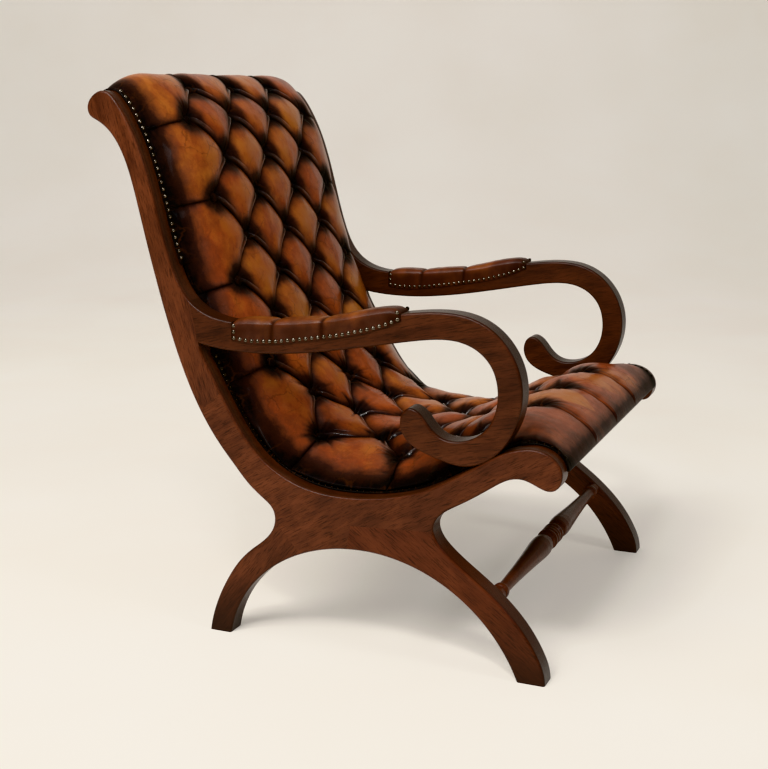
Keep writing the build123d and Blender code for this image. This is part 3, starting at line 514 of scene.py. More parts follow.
def arm_pad(name, side, seed):
    ys = np.linspace(PAD_Y0, PAD_Y1, 188)
    us = np.linspace(-1, 1, 97)
    Yg, Ug = np.meshgrid(ys, us, indexing="ij")
    top, low_z = pad_top(Yg), pad_low(Yg) + 0.2
    half = 18.0 + 2.25
    dome = np.zeros_like(Yg)
    bounds_ = [PAD_Y0, PLEATS[1], PLEATS[0], PAD_Y1]
    for y0, y1 in zip(bounds_[:-1], bounds_[1:]):
        t = np.clip((Yg - y0) / (y1 - y0), 0, 1)
        inside = (Yg >= y0) & (Yg <= y1)
        dome = np.where(inside, (4 * t * (1 - t)) ** 0.45, dome)
    pd = np.minimum(np.abs(Yg - PLEATS[0] + 2.0 * np.cos(Ug * 3)), np.abs(Yg - PLEATS[1] + 2.0 * np.cos(Ug * 3 + 1)))
    crease = np.exp(-(pd / 2.6) ** 1.3)
    end_drop = np.exp(-(np.minimum(Yg - PAD_Y0, PAD_Y1 - Yg) / 3.4))
    # cross-section: down one side, over the top, down the other
    a_ = np.abs(Ug)
    flat_w = half - 8.0
    arc = 8.0 * math.pi / 2
    skirt = top - 8.0 - low_z
    total = flat_w + arc + skirt
    d = a_ * total
    cx = np.where(d < flat_w, d, np.where(d < flat_w + arc, flat_w + 8 * np.sin((d - flat_w) / 8), half))
    cz = np.where(d < flat_w, top, np.where(d < flat_w + arc, top - 8 + 8 * np.cos((d - flat_w) / 8), top - 8 - (d - flat_w - arc)))
    crown_ = (1 - (cx / half) ** 2)
    over = smooth01(flat_w + arc + 4, flat_w, d)
    cz = cz + over * (dome * 4.6 * (0.35 + 0.65 * crown_) - 2.4 - crease * 3.0 - end_drop * 5.0)
    sk = smooth01(flat_w, flat_w + arc + 2, d)
    bulge = dome * 1.1 * np.sin(np.clip((d - flat_w) / np.maximum(arc + skirt * 0.8, 1), 0, 1) * math.pi) - crease * 0.7
    cx = np.minimum(cx + sk * bulge, half + 1.0)
    near_hem = smooth01(7.0, 2.5, cz - low_z)
    cx = cx * (1 - near_hem) + (half) * near_hem * (d > flat_w + arc) + cx * near_hem * (d <= flat_w + arc)
    g = np.random.default_rng(seed)
    wr = value_noise(Yg / 9.0 + seed, Ug * 3 + 5, seed, 2) * 0.35
    cz = cz + over * wr
    x = MID + side * 0 + np.sign(Ug) * cx
    vtx = np.stack([x if side > 0 else -x, Yg, cz], -1)
    nr2, nc2 = Yg.shape
    v = vtx.reshape(-1, 3)
    f = grid_faces(nr2, nc2)
    if side < 0:
        f = f[:, ::-1]
    # end walls down to the wood
    ends, fe = [], []
    for row, yy in ((0, PAD_Y0 - 0.25), (nr2 - 1, PAD_Y1 + 0.25)):
        base = len(v) + sum(len(e) for e in ends)
        ring = v[row * nc2:(row + 1) * nc2]
        low_ring = ring.copy()
        low_ring[:, 2] = np.minimum(low_ring[:, 2], np.maximum(pad_low(np.array([ys[0 if row == 0 else -1]]))[0], low_ring[:, 2] - 30.0))
        low_ring[:, 1] = yy
        ends.append(low_ring)
        for j in range(nc2 - 1):
            q = (row * nc2 + j, row * nc2 + j + 1, base + j + 1, base + j)
            fe.append(q)
    v = np.vstack([v] + ends)
    f = np.vstack([f, np.array(fe)])
    # pad darkness: painted shade down the side skirts, dye and painted shade in the pleats; the ends, the front end and
    # the end walls are also made darker
    pad_dye_and_shade = np.clip(0.16 + 0.75 * crease + 0.45 * smooth01(flat_w + 3, flat_w + arc + 10, d) + 0.5 * end_drop + 0.35 * smooth01(-80, -139, Yg)
                    + 0.2 * value_noise(Yg / 16.0, Ug * 2.5, seed + 3, 2), 0, 1)
    pad_dye_and_shade = np.r_[pad_dye_and_shade.ravel(), np.full(2 * nc2, 0.95)]
    z = np.zeros(len(v))
    return make_mesh(name, v, f, {"dark": pad_dye_and_shade, "puff": z + 0.2 * side, "along": v[:, 1] / 1000, "across": v[:, 0] / 1000, "pit": z})


pads = {"left": arm_pad("pad_left", 1, 301), "right": arm_pad("pad_right", -1, 302)}

# ---------------------------------------------------------------- outside back and dust cover
C1_BACK = [(121.0, 259.0), (139.7, 280.3), (161.3, 306.2), (181.3, 333.3), (198.9, 362.0), (214.3, 392.1),
           (227.7, 423.0), (239.7, 454.5), (250.4, 486.5), (260.4, 518.7), (269.7, 551.1), (278.5, 583.7),
           (287.0, 616.3), (295.0, 649.1), (302.9, 681.9), (311.0, 714.6), (320.8, 746.9), (334.5, 777.7),
           (355.2, 804.1), (374.9, 817.0)]
COVER = [(113.0, 248.0), (80.0, 227.0), (40.0, 212.0), (0.0, 206.0), (-60.0, 204.0), (-120.0, 210.0), (-160.0, 226.0),
         (-185.0, 241.0), (-210.0, 257.0), (-240.0, 277.0), (-270.0, 295.0), (-300.0, 310.0), (-325.0, 317.0)]


def panel(name, points, half_x, h_edge, sign, belly, seed, dark_of, rim_lap=10.0):
    pos, tan, length = curve_of(points)
    ss = np.linspace(0, length, int(length / 3.2))
    xs = np.linspace(-half_x, half_x, int(2 * half_x / 3.3))
    Sg, Xg = np.meshgrid(ss, xs, indexing="ij")
    p, t = pos(Sg), tan(Sg)
    n = np.stack([t[..., 1], -t[..., 0]], -1) * sign
    u, w = np.abs(Xg) / half_x, Sg / length
    inner = smooth01(0, 0.09, 1 - u) * smooth01(0, 0.05, w) * smooth01(0, 0.05, 1 - w)
    soft = value_noise(Sg / 46.0, Xg / 52.0, seed, 3) * 0.9 + value_noise(Sg / 11.0, Xg / 12.0, seed + 5, 2) * 0.16
    h = h_edge + inner * (belly * (1 - u ** 2) * np.sin(np.pi * w) ** 0.6 + soft)
    v = np.stack([Xg, p[..., 0] + n[..., 0] * h, p[..., 1] + n[..., 1] * h], -1)
    nr2, nc2 = Sg.shape
    vv = v.reshape(-1, 3)
    f = grid_faces(nr2, nc2)
    rim_ = np.concatenate([np.arange(nc2), np.arange(1, nr2) * nc2 + nc2 - 1, (nr2 - 1) * nc2 + np.arange(nc2 - 2, -1, -1),
                           np.arange(nr2 - 2, 0, -1) * nc2])
    pr_, tr_ = pos(Sg.ravel()[rim_]), tan(Sg.ravel()[rim_])
    nn_ = np.stack([tr_[:, 1], -tr_[:, 0]], -1) * sign
    h_low = h_edge - 1.9 if h_edge > 2 else h_edge - 1.0
    low_ = np.stack([Xg.ravel()[rim_], pr_[:, 0] + nn_[:, 0] * h_low, pr_[:, 1] + nn_[:, 1] * h_low], -1)
    k = len(vv)
    vv = np.vstack([vv, low_])
    i_ = np.arange(len(rim_))
    j_ = np.roll(i_, -1)
    f = np.vstack([f, np.stack([rim_[i_], k + i_, k + j_, rim_[j_]], -1)])
    dk = dark_of(u, w, Sg, Xg).ravel()
    dk = np.r_[dk, dk[rim_]]
    z = np.zeros(len(vv))
    return make_mesh(name, vv, f, {"dark": dk, "puff": z, "along": np.r_[Sg.ravel(), Sg.ravel()[rim_]] / 1000,
                                   "across": vv[:, 0] / 1000, "pit": z})


def back_dark(u, w, Sg, Xg):
    e = np.exp(-((1 - u) / 0.06) ** 1.5) + np.exp(-(w / 0.05) ** 1.5) + np.exp(-((1 - w) / 0.05) ** 1.5)
    return np.clip(0.34 + 0.6 * e + 0.14 * value_noise(Sg / 60.0, Xg / 70.0, 91, 3), 0, 1)


outside = panel("outside_back_leather", C1_BACK, EDGE, 2.7, 1, 5.0, 51, back_dark)
cover = panel("underside_cloth", COVER, 298.4, 1.1, -1, 6.0, 61, lambda u, w, s, x: np.zeros_like(u))


# ---------------------------------------------------------------- materials
def new_material(name):
    m = bpy.data.materials.new(name)
    m.use_nodes = True
    nt = m.node_tree
    for n in list(nt.nodes):
        nt.nodes.remove(n)
    out = nt.nodes.new("ShaderNodeOutputMaterial")
    b = nt.nodes.new("ShaderNodeBsdfPrincipled")
    nt.links.new(b.outputs[0], out.inputs[0])
    return m, nt, b


def node(nt, kind, **kw):
    n = nt.nodes.new(kind)
    for k, v in kw.items():
        if k.startswith("in_"):
            key = k[3:]
            n.inputs[int(key) if key.isdigit() else key.replace("_", " ")].default_value = v
        else:
            setattr(n, k, v)
    return n


def ramp(nt, src, stops, interp="LINEAR"):
    r = nt.nodes.new("ShaderNodeValToRGB")
    r.color_ramp.interpolation = interp
    el = r.color_ramp.elements
    while len(el) < len(stops):
        el.new(0.5)
    for e, (p, c) in zip(el, stops):
        e.position = p
        e.color = (*c, 1.0)
    nt.links.new(src, r.inputs[0])
    return r.outputs[0]


def math_(nt, op, a_, b_=None, clamp=False):
    m = nt.nodes.new("ShaderNodeMath")
    m.operation = op
    m.use_clamp = clamp
    for i, v in enumerate((a_, b_)):
        if v is None:
            continue
        if isinstance(v, (int, float)):
            m.inputs[i].default_value = v
        else:
            nt.links.new(v, m.inputs[i])
    return m.outputs[0]


def mix_rgb(nt, fac, a_, b_, blend="MIX"):
    m = nt.nodes.new("ShaderNodeMix")
    m.data_type = "RGBA"
    m.blend_type = blend
    for sock, v in ((m.inputs[0], fac), (m.inputs[6], a_), (m.inputs[7], b_)):
        if isinstance(v, (int, float)):
            sock.default_value = v
        elif isinstance(v, tuple):
            sock.default_value = (*v, 1.0) if len(v) == 3 else v
        else:
            nt.links.new(v, sock)
    return m.outputs[2]


def leather_material(name, bright=1.0, red=0.0, crackle=1.0):
    m, nt, b = new_material(name)
    geo = node(nt, "ShaderNodeTexCoord")
    obj = geo.outputs["Object"]
    at_dark = node(nt, "ShaderNodeAttribute", attribute_name="dark").outputs["Fac"]
    at_puff = node(nt, "ShaderNodeAttribute", attribute_name="puff").outputs["Fac"]
    at_along = node(nt, "ShaderNodeAttribute", attribute_name="along").outputs["Fac"]
    at_across = node(nt, "ShaderNodeAttribute", attribute_name="across").outputs["Fac"]
    at_pit = node(nt, "ShaderNodeAttribute", attribute_name="pit").outputs["Fac"]
    comb = node(nt, "ShaderNodeCombineXYZ")
    nt.links.new(at_across, comb.inputs[0])
    nt.links.new(at_along, comb.inputs[1])
    flat = comb.outputs[0]
    cloud = node(nt, "ShaderNodeTexNoise", in_Scale=16.0, in_Detail=5.0, in_Roughness=0.6)
    nt.links.new(obj, cloud.inputs["Vector"])
    mott = node(nt, "ShaderNodeTexNoise", in_Scale=90.0, in_Detail=4.0, in_Roughness=0.65)
    nt.links.new(obj, mott.inputs["Vector"])
    # cracks: thin dark lines between large cells
    warp = node(nt, "ShaderNodeTexNoise", in_Scale=22.0, in_Detail=5.0, in_Roughness=0.6)
    nt.links.new(flat, warp.inputs["Vector"])
    wv = node(nt, "ShaderNodeVectorMath", operation="SCALE", in_Scale=0.045)
    nt.links.new(warp.outputs["Color"], wv.inputs[0])
    wa = node(nt, "ShaderNodeVectorMath", operation="ADD")
    nt.links.new(flat, wa.inputs[0])
    nt.links.new(wv.outputs[0], wa.inputs[1])
    cells = node(nt, "ShaderNodeTexVoronoi", feature="DISTANCE_TO_EDGE", in_Scale=26.0, in_Randomness=1.0)
    nt.links.new(wa.outputs[0], cells.inputs["Vector"])
    thin = math_(nt, "LESS_THAN", cells.outputs["Distance"], 0.012)
    line = ramp(nt, cells.outputs["Distance"], [(0.0, (1, 1, 1)), (0.022, (0.5, 0.5, 0.5)), (0.045, (0, 0, 0))])
    gate_n = node(nt, "ShaderNodeTexNoise", in_Scale=13.0, in_Detail=2.0)
    nt.links.new(flat, gate_n.inputs["Vector"])
    gate = ramp(nt, gate_n.outputs["Fac"], [(0.46, (0, 0, 0)), (0.60, (1, 1, 1))])
    crack = math_(nt, "MULTIPLY", line, gate)
    fine = node(nt, "ShaderNodeTexVoronoi", feature="DISTANCE_TO_EDGE", in_Scale=95.0)
    nt.links.new(wa.outputs[0], fine.inputs["Vector"])
    fline = ramp(nt, fine.outputs["Distance"], [(0.0, (1, 1, 1)), (0.07, (0, 0, 0))])
    gate2_n = node(nt, "ShaderNodeTexNoise", in_Scale=21.0, in_Detail=2.0)
    nt.links.new(flat, gate2_n.inputs["Vector"])
    gate2 = ramp(nt, gate2_n.outputs["Fac"], [(0.56, (0, 0, 0)), (0.72, (1, 1, 1))])
    fcrack = math_(nt, "MULTIPLY", fline, gate2)
    # darkness value (antique dye and painted shade from the meshes' 'dark' attribute), broken up by clouds
    c1 = math_(nt, "SUBTRACT", cloud.outputs["Fac"], 0.5)
    c2 = math_(nt, "SUBTRACT", mott.outputs["Fac"], 0.5)
    d1 = math_(nt, "ADD", at_dark, math_(nt, "MULTIPLY", c1, 0.52))
    d2 = math_(nt, "ADD", d1, math_(nt, "MULTIPLY", c2, 0.22))
    wiped = node(nt, "ShaderNodeMapping")
    wiped.inputs["Scale"].default_value = (1.0, 0.22, 1.0)
    wiped.inputs["Rotation"].default_value = (0, 0, 0.5)
    nt.links.new(wa.outputs[0], wiped.inputs["Vector"])
    streak = node(nt, "ShaderNodeTexNoise", in_Scale=85.0, in_Detail=4.0, in_Roughness=0.6)
    nt.links.new(wiped.outputs[0], streak.inputs["Vector"])
    d2 = math_(nt, "ADD", d2, math_(nt, "MULTIPLY", math_(nt, "SUBTRACT", streak.outputs["Fac"], 0.5), 0.42))
    d3 = math_(nt, "ADD", d2, math_(nt, "MULTIPLY", at_puff, 0.06), clamp=True)
    k = bright
    col = ramp(nt, d3, [(0.0, (0.365 * k, 0.130 * k, 0.034 * k)), (0.15, (0.250 * k, 0.081 * k, 0.025 * k)),
                        (0.34, (0.125 * k, 0.042 * k, 0.018 * k)), (0.58, (0.032, 0.0135, 0.0090)), (1.0, (0.0040, 0.0033, 0.0032))])
    tone_ = ramp(nt, d3, [(0.0, (0.310 * k, 0.074 * k, 0.026 * k)), (0.15, (0.210 * k, 0.049 * k, 0.020 * k)),
                          (0.34, (0.115 * k, 0.034 * k, 0.018 * k)), (0.58, (0.030, 0.0120, 0.0090)), (1.0, (0.0040, 0.0033, 0.0032))])
    redmix = math_(nt, "ADD", math_(nt, "MULTIPLY", at_puff, 0.75), math_(nt, "ADD", math_(nt, "MULTIPLY", c1, 2.6), 0.62), clamp=True)
    col = mix_rgb(nt, redmix, col, tone_)
    if red:
        col = mix_rgb(nt, red, col, (0.20, 0.035, 0.008), "MIX")
    cr = math_(nt, "MULTIPLY", crack, 0.50 * crackle)
    col = mix_rgb(nt, cr, col, (0.05, 0.016, 0.006))
    fc = math_(nt, "MULTIPLY", fcrack, 0.34 * crackle)
    col = mix_rgb(nt, fc, col, (0.06, 0.02, 0.008))
    nt.links.new(col, b.inputs["Base Color"])
    rough = math_(nt, "ADD", math_(nt, "MULTIPLY", mott.outputs["Fac"], 0.18), 0.27)
    rough = math_(nt, "ADD", rough, math_(nt, "MULTIPLY", at_dark, 0.24))
    nt.links.new(rough, b.inputs["Roughness"])
    dull = ramp(nt, at_dark, [(0.25, (1, 1, 1)), (0.85, (0.28, 0.28, 0.28))])
    nt.links.new(math_(nt, "ADD", math_(nt, "MULTIPLY", dull, 0.30), math_(nt, "MULTIPLY", at_pit, 0.5)), b.inputs["Specular IOR Level"])
    nt.links.new(math_(nt, "ADD", math_(nt, "MULTIPLY", dull, 0.16), math_(nt, "MULTIPLY", at_pit, 0.8)), b.inputs["Coat Weight"])
    b.inputs["Coat Roughness"].default_value = 0.16
    # grain, cracks and light wrinkles as relief
    grain = node(nt, "ShaderNodeTexVoronoi", feature="F1", in_Scale=900.0)
    nt.links.new(obj, grain.inputs["Vector"])
    relief = math_(nt, "MULTIPLY", grain.outputs["Distance"], 0.10)
    relief = math_(nt, "ADD", relief, math_(nt, "MULTIPLY", mott.outputs["Fac"], 0.35))
    relief = math_(nt, "SUBTRACT", relief, math_(nt, "MULTIPLY", crack, 0.40 * crackle))
    relief = math_(nt, "SUBTRACT", relief, math_(nt, "MULTIPLY", fcrack, 0.20 * crackle))
    bump = node(nt, "ShaderNodeBump", in_Strength=0.55, in_Distance=0.0011)
    nt.links.new(relief, bump.inputs["Height"])
    nt.links.new(bump.outputs[0], b.inputs["Normal"])
    return m


def wood_material(name, direction, tone=1.0, seed=0.0, redder=0.0, darker_low=False, groove_shade_line=False, edge_shade=0.5):
    """Mahogany with its grain along a direction in the YZ plane."""
    m, nt, b = new_material(name)
    geo = node(nt, "ShaderNodeTexCoord")
    mp = node(nt, "ShaderNodeMapping")
    ang = math.atan2(direction[1], direction[0])
    mp.inputs["Rotation"].default_value = (-ang, 0, 0)
    mp.inputs["Location"].default_value = (seed * 0.37, seed * 0.91, seed * 0.53)
    nt.links.new(geo.outputs["Object"], mp.inputs["Vector"])
    st = node(nt, "ShaderNodeMapping")
    st.inputs["Scale"].default_value = (1.0, 0.09, 1.0)
    nt.links.new(mp.outputs[0], st.inputs["Vector"])
    bend = node(nt, "ShaderNodeTexNoise", in_Scale=5.0, in_Detail=3.0, in_Distortion=0.3)
    nt.links.new(mp.outputs[0], bend.inputs["Vector"])
    bv = node(nt, "ShaderNodeVectorMath", operation="SCALE", in_Scale=0.05)
    nt.links.new(bend.outputs["Color"], bv.inputs[0])
    ad = node(nt, "ShaderNodeVectorMath", operation="ADD")
    nt.links.new(st.outputs[0], ad.inputs[0])
    nt.links.new(bv.outputs[0], ad.inputs[1])
    rings = node(nt, "ShaderNodeTexNoise", in_Scale=62.0, in_Detail=6.0, in_Roughness=0.62)
    nt.links.new(ad.outputs[0], rings.inputs["Vector"])
    st2 = node(nt, "ShaderNodeMapping")
    st2.inputs["Scale"].default_value = (1.0, 0.055, 1.0)
    nt.links.new(mp.outputs[0], st2.inputs["Vector"])
    pores = node(nt, "ShaderNodeTexNoise", in_Scale=720.0, in_Detail=3.0, in_Roughness=0.7)
    nt.links.new(st2.outputs[0], pores.inputs["Vector"])
    broad_ = node(nt, "ShaderNodeTexNoise", in_Scale=9.0, in_Detail=3.0)
    nt.links.new(mp.outputs[0], broad_.inputs["Vector"])
    k = tone
    c_a = (0.042 * k, 0.0150 * k, 0.0105 * k)
    c_b = (0.138 * k, 0.0475 * k, 0.0270 * k)
    col = ramp(nt, rings.outputs["Fac"], [(0.32, c_a), (0.50, tuple((p + q) / 2 for p, q in zip(c_a, c_b))), (0.70, c_b)])
    figure = node(nt, "ShaderNodeTexNoise", in_Scale=34.0, in_Detail=5.0, in_Roughness=0.7)
    st3 = node(nt, "ShaderNodeMapping")
    st3.inputs["Scale"].default_value = (1.0, 0.4, 1.0)
    nt.links.new(mp.outputs[0], st3.inputs["Vector"])
    nt.links.new(st3.outputs[0], figure.inputs["Vector"])
    fig = ramp(nt, figure.outputs["Fac"], [(0.40, (0, 0, 0)), (0.62, (1, 1, 1))])
    col = mix_rgb(nt, math_(nt, "MULTIPLY", fig, 0.42), col, (0.165 * k, 0.054 * k, 0.0280 * k))
    dim = ramp(nt, broad_.outputs["Fac"], [(0.35, (0, 0, 0)), (0.68, (1, 1, 1))])
    col = mix_rgb(nt, math_(nt, "MULTIPLY", dim, 0.50), col, (0.036 * k, 0.0130 * k, 0.0088 * k))
    if redder:
        col = mix_rgb(nt, redder, col, (0.120 * k, 0.026 * k, 0.012 * k))
    pore = ramp(nt, pores.outputs["Fac"], [(0.38, (1, 1, 1)), (0.48, (0, 0, 0))])
    col = mix_rgb(nt, math_(nt, "MULTIPLY", pore, 0.74), col, (0.014, 0.006, 0.0045))
    # painted shade: faces whose normal does not point along X (the members' front, top, back and end faces) are
    # darkened
    face = node(nt, "ShaderNodeNewGeometry")
    fsep = node(nt, "ShaderNodeSeparateXYZ")
    nt.links.new(face.outputs["True Normal"], fsep.inputs[0])
    edge_face_shade = ramp(nt, math_(nt, "ABSOLUTE", fsep.outputs[0]), [(0.45, (1, 1, 1)), (0.92, (0, 0, 0))])
    col = mix_rgb(nt, math_(nt, "MULTIPLY", edge_face_shade, edge_shade), col, (0.022 * k, 0.0075 * k, 0.0040 * k))
    if darker_low:
        sep = node(nt, "ShaderNodeSeparateXYZ")
        nt.links.new(geo.outputs["Object"], sep.inputs[0])
        lowf = ramp(nt, math_(nt, "MULTIPLY", sep.outputs[2], 4.0), [(0.0, (1, 1, 1)), (0.45, (0, 0, 0))])
        col = mix_rgb(nt, math_(nt, "MULTIPLY", lowf, 0.85), col, (0.013, 0.0070, 0.0055))
    # painted shade: a thin dark line at |x| = 324.8 mm stands for the shade in a groove beside the outer arris; the
    # groove itself is not modelled
    if groove_shade_line:
        sx = node(nt, "ShaderNodeSeparateXYZ")
        nt.links.new(geo.outputs["Object"], sx.inputs[0])
        off = math_(nt, "ABSOLUTE", math_(nt, "SUBTRACT", math_(nt, "ABSOLUTE", sx.outputs[0]), 0.3248))
        painted_groove_shade = ramp(nt, math_(nt, "MULTIPLY", off, 250.0), [(0.0, (1, 1, 1)), (0.30, (0, 0, 0))])
        col = mix_rgb(nt, math_(nt, "MULTIPLY", painted_groove_shade, 0.75), col, (0.010, 0.005, 0.004))
    nt.links.new(col, b.inputs["Base Color"])
    rg = math_(nt, "ADD", math_(nt, "MULTIPLY", rings.outputs["Fac"], 0.16), 0.24)
    nt.links.new(rg, b.inputs["Roughness"])
    b.inputs["Specular IOR Level"].default_value = 0.20
    b.inputs["Coat Weight"].default_value = 0.06
    b.inputs["Coat Roughness"].default_value = 0.25
    bump = node(nt, "ShaderNodeBump", in_Strength=0.25, in_Distance=0.0004)
    nt.links.new(math_(nt, "SUBTRACT", rings.outputs["Fac"], math_(nt, "MULTIPLY", pore, 0.5)), bump.inputs["Height"])
    nt.links.new(bump.outputs[0], b.inputs["Normal"])
    return m


def brass_material(name, k):
    m, nt, b = new_material(name)
    geo = node(nt, "ShaderNodeTexCoord")
    n = node(nt, "ShaderNodeTexNoise", in_Scale=260.0, in_Detail=3.0)
    nt.links.new(geo.outputs["Object"], n.inputs["Vector"])
    col = ramp(nt, n.outputs["Fac"], [(0.35, (0.160 * k, 0.135 * k, 0.108 * k)), (0.62, (0.400 * k, 0.350 * k, 0.290 * k))])
    # painted shade: nails below 0.40 m, fading out by 0.50 m, along the seat under the overhanging puffs, are made near
    # black
    sep = node(nt, "ShaderNodeSeparateXYZ")
    nt.links.new(geo.outputs["Object"], sep.inputs[0])
    seat_nail_shade = ramp(nt, sep.outputs[2], [(0.40, (1, 1, 1)), (0.50, (0, 0, 0))])
    col = mix_rgb(nt, seat_nail_shade, col, (0.012, 0.009, 0.007))
    nt.links.new(col, b.inputs["Base Color"])
    b.inputs["Metallic"].default_value = 1.0
    nt.links.new(math_(nt, "ADD", math_(nt, "MULTIPLY", n.outputs["Fac"], 0.16), 0.12), b.inputs["Roughness"])
    return m


def cloth_material(name, ca, cb, scale=900.0):
    m, nt, b = new_material(name)
    geo = node(nt, "ShaderNodeTexCoord")
    w1 = node(nt, "ShaderNodeTexWave", wave_type="BANDS", bands_direction="X", in_Scale=scale / 6.0)
    w2 = node(nt, "ShaderNodeTexWave", wave_type="BANDS", bands_direction="Y", in_Scale=scale / 6.0)
    n = node(nt, "ShaderNodeTexNoise", in_Scale=120.0, in_Detail=4.0)
    for t in (w1, w2, n):
        nt.links.new(geo.outputs["Object"], t.inputs["Vector"])
    weave = math_(nt, "MULTIPLY", w1.outputs["Fac"], w2.outputs["Fac"])
    f = math_(nt, "ADD", math_(nt, "MULTIPLY", weave, 0.5), math_(nt, "MULTIPLY", n.outputs["Fac"], 0.5))
    col = ramp(nt, f, [(0.2, ca), (0.8, cb)])
    nt.links.new(col, b.inputs["Base Color"])
    b.inputs["Roughness"].default_value = 0.9
    bump = node(nt, "ShaderNodeBump", in_Strength=0.4, in_Distance=0.0005)
    nt.links.new(f, bump.inputs["Height"])
    nt.links.new(bump.outputs[0], b.inputs["Normal"])
    return m


def dress(ob, mat):
    ob.data.materials.clear()
    ob.data.materials.append(mat)
    for p in ob.data.polygons:
        p.material_index = 0


leather_main = leather_material("buttoned_leather")
leather_pad = leather_material("pad_leather_look", bright=0.62, red=0.08, crackle=0.8)
leather_out = leather_material("outside_leather_look", bright=0.8, crackle=0.6)
brass = brass_material("nail_brass_look", 1.0)
brass_pads = brass_material("pad_nail_brass_look", 0.5)
black_cloth = cloth_material("dust_cloth_look", (0.010, 0.010, 0.010), (0.035, 0.033, 0.030))
beech = wood_material("hidden_wood_look", (0.0, 1.0), tone=4.0, seed=9)

GRAIN = {"back_stile": (0.26, 0.97), "seat_rail": (-0.86, 0.50), "rear_leg": (0.62, -0.78), "front_leg": (-0.80, -0.60),
         "arm": (-0.97, 0.22)}
LOOK = {"back_stile": dict(tone=1.0, groove_shade_line=True), "seat_rail": dict(tone=1.0, groove_shade_line=True), "rear_leg": dict(tone=0.9, darker_low=True),
        "front_leg": dict(tone=0.9, redder=0.25, darker_low=True), "arm": dict(tone=0.60, edge_shade=0.66)}
for i, (key, d) in enumerate(GRAIN.items()):
    for j, side in enumerate(("left", "right")):
        ob = nodes[f"{key}_{side}"]
        dress(ob, wood_material(f"wood_{key}_{side}", d, seed=1.0 + i * 1.7 + j * 0.6, **LOOK[key]))
dress(nodes["front_stretcher"], wood_material("wood_stretcher", (0.0, 1.0), tone=0.80, seed=8.3, redder=0.3, edge_shade=0.0))
for name in ("frame_dowels", "cross_rail_dowels", "top_cross_rail", "upper_back_rail", "lumbar_rail", "seat_back_rail",
             "seat_cross_rail", "front_cross_rail"):
    dress(nodes[name], beech)
for name in ("edge_nails_left", "edge_nails_right", "arm_pad_nails_left", "arm_pad_nails_right", "outside_back_nails"):
    dress(nodes[name], brass_pads if name.startswith("arm_pad") else brass)
for name, ob in nodes.items():
    me = ob.data
    me.polygons.foreach_set("use_smooth", np.ones(len(me.polygons), bool))
    me.set_sharp_from_angle(angle=math.radians(38))
    me.update()

for ob in (back_leather, seat_leather, back_buttons, seat_buttons):
    dress(ob, leather_main)
for ob in pads.values():
    dress(ob, leather_pad)
dress(outside, leather_out)
dress(cover, black_cloth)

# ---------------------------------------------------------------- what stands for what
for ob in (back_leather, seat_leather, back_buttons, seat_buttons, *pads.values(), outside, cover):
    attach(ob, "root")
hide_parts("back_leather", "back_stuffing", "hessian", "webbing", "button_ties")
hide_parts("seat_leather", "seat_stuffing")
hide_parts("back_buttons")
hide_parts("seat_buttons")
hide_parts("outside_back")
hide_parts("dust_cover")
for side, ob in pads.items():
    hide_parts(f"arm_pad_leather_{side}", f"arm_pad_stuffing_{side}")

# ---------------------------------------------------------------- floor, backdrop, light
def backdrop():
    """A floor that sweeps up behind the chair."""
    fwd = np.array([0.923, 0.385])
    side = np.array([-0.385, 0.923])
    prof = [(-9.0, 0.0), (3.2, 0.0)]
    for k in range(1, 25):
        a_ = math.pi / 2 * k / 24
        prof.append((3.2 + 2.6 * math.sin(a_), 2.6 - 2.6 * math.cos(a_)))
    prof.append((5.8, 9.0))
    vs = []
    for d_, z in prof:
        for w in (-11.0, 11.0):
            p = fwd * d_ + side * w
            vs.append((p[0] * 1000, p[1] * 1000, z * 1000))
    fs = [(2 * i, 2 * i + 1, 2 * i + 3, 2 * i + 2) for i in range(len(prof) - 1)]
    ob = make_mesh("backdrop", vs, fs, smooth=True, shift=False)
    m, nt, b = new_material("backdrop_paint")
    geo = node(nt, "ShaderNodeTexCoord")
    n = node(nt, "ShaderNodeTexNoise", in_Scale=1.6, in_Detail=3.0)
    nt.links.new(geo.outputs["Object"], n.inputs["Vector"])
    col = ramp(nt, n.outputs["Fac"], [(0.35, (0.725, 0.675, 0.605)), (0.65, (0.75, 0.705, 0.640))])
    nt.links.new(col, b.inputs["Base Color"])
    nt.links.new(col, b.inputs["Emission Color"])
    b.inputs["Emission Strength"].default_value = 0.40      # a bright white studio all round
    b.inputs["Roughness"].default_value = 0.75
    dress(ob, m)
    return ob


backdrop()


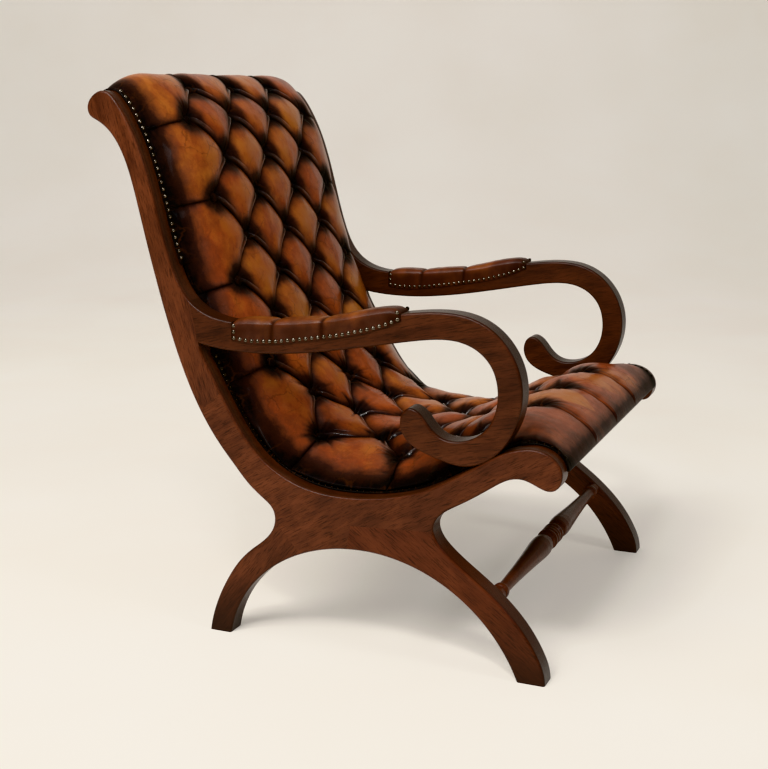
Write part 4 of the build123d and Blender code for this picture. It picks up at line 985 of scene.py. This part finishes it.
def area_light(name, loc, aim, size, energy, color=(1, 1, 1), size_y=None):
    li = bpy.data.lights.new(name, "AREA")
    li.shape = "RECTANGLE"
    li.size = size
    li.size_y = size_y or size
    li.energy = energy
    li.color = color
    ob = bpy.data.objects.new(name, li)
    ob.location = loc
    ob.rotation_mode = "QUATERNION"
    ob.rotation_quaternion = (Vector(aim) - Vector(loc)).to_track_quat("-Z", "Y")
    bpy.context.scene.collection.objects.link(ob)
    return ob


area_light("key", (-2.7, 0.9, 3.1), (0.0, 0.0, 0.4), 2.2, 122, (1.0, 0.98, 0.95))
area_light("sparkle", (-2.3, -0.5, 3.0), (0.0, 0.0, 0.5), 0.45, 34, (1.0, 0.99, 0.97))
area_light("front", (-0.7, -3.0, 2.5), (0.0, 0.1, 0.6), 0.8, 20, (0.98, 0.99, 1.0))
area_light("top", (-0.8, 0.6, 3.9), (0.0, 0.0, 0.3), 2.8, 30, (1.0, 1.0, 1.0))
area_light("wall", (1.7, 0.9, 2.9), (5.6, 2.8, 1.9), 2.6, 16, (0.97, 0.98, 1.0))
world = bpy.data.worlds.new("world")
world.use_nodes = True
bg = world.node_tree.nodes.get("Background") or world.node_tree.nodes.new("ShaderNodeBackground")
bg.inputs[0].default_value = (0.96, 0.97, 1.0, 1.0)
bg.inputs[1].default_value = 0.15
bpy.context.scene.world = world
bpy.context.scene.view_settings.view_transform = "Khronos PBR Neutral"

# ---------------------------------------------------------------- camera
cam_data = bpy.data.cameras.new("camera")
cam = bpy.data.objects.new("camera", cam_data)
bpy.context.scene.collection.objects.link(cam)
bpy.context.scene.camera = cam
d_ = Vector((0.90139, 0.37548, -0.21567)).normalized()
r_ = Vector((0.3845, -0.9231, 0.0)).normalized()
r_ = (r_ - d_ * r_.dot(d_)).normalized()
u_ = r_.cross(d_).normalized()
roll = math.radians(0.069)
r2 = r_ * math.cos(roll) + u_ * math.sin(roll)
u2 = u_ * math.cos(roll) - r_ * math.sin(roll)
rot = Matrix((r2, u2, -d_)).transposed()
cam.matrix_world = Matrix.Translation(Vector((-2.10779, -0.85234 + Y_SHIFT / 1000, 0.86075))) @ rot.to_4x4()
cam_data.sensor_fit = "AUTO"
cam_data.sensor_width = 36.0
cam_data.lens = 1328.26 / 769.0 * 36.0
cam_data.clip_start, cam_data.clip_end = 0.05, 60.0
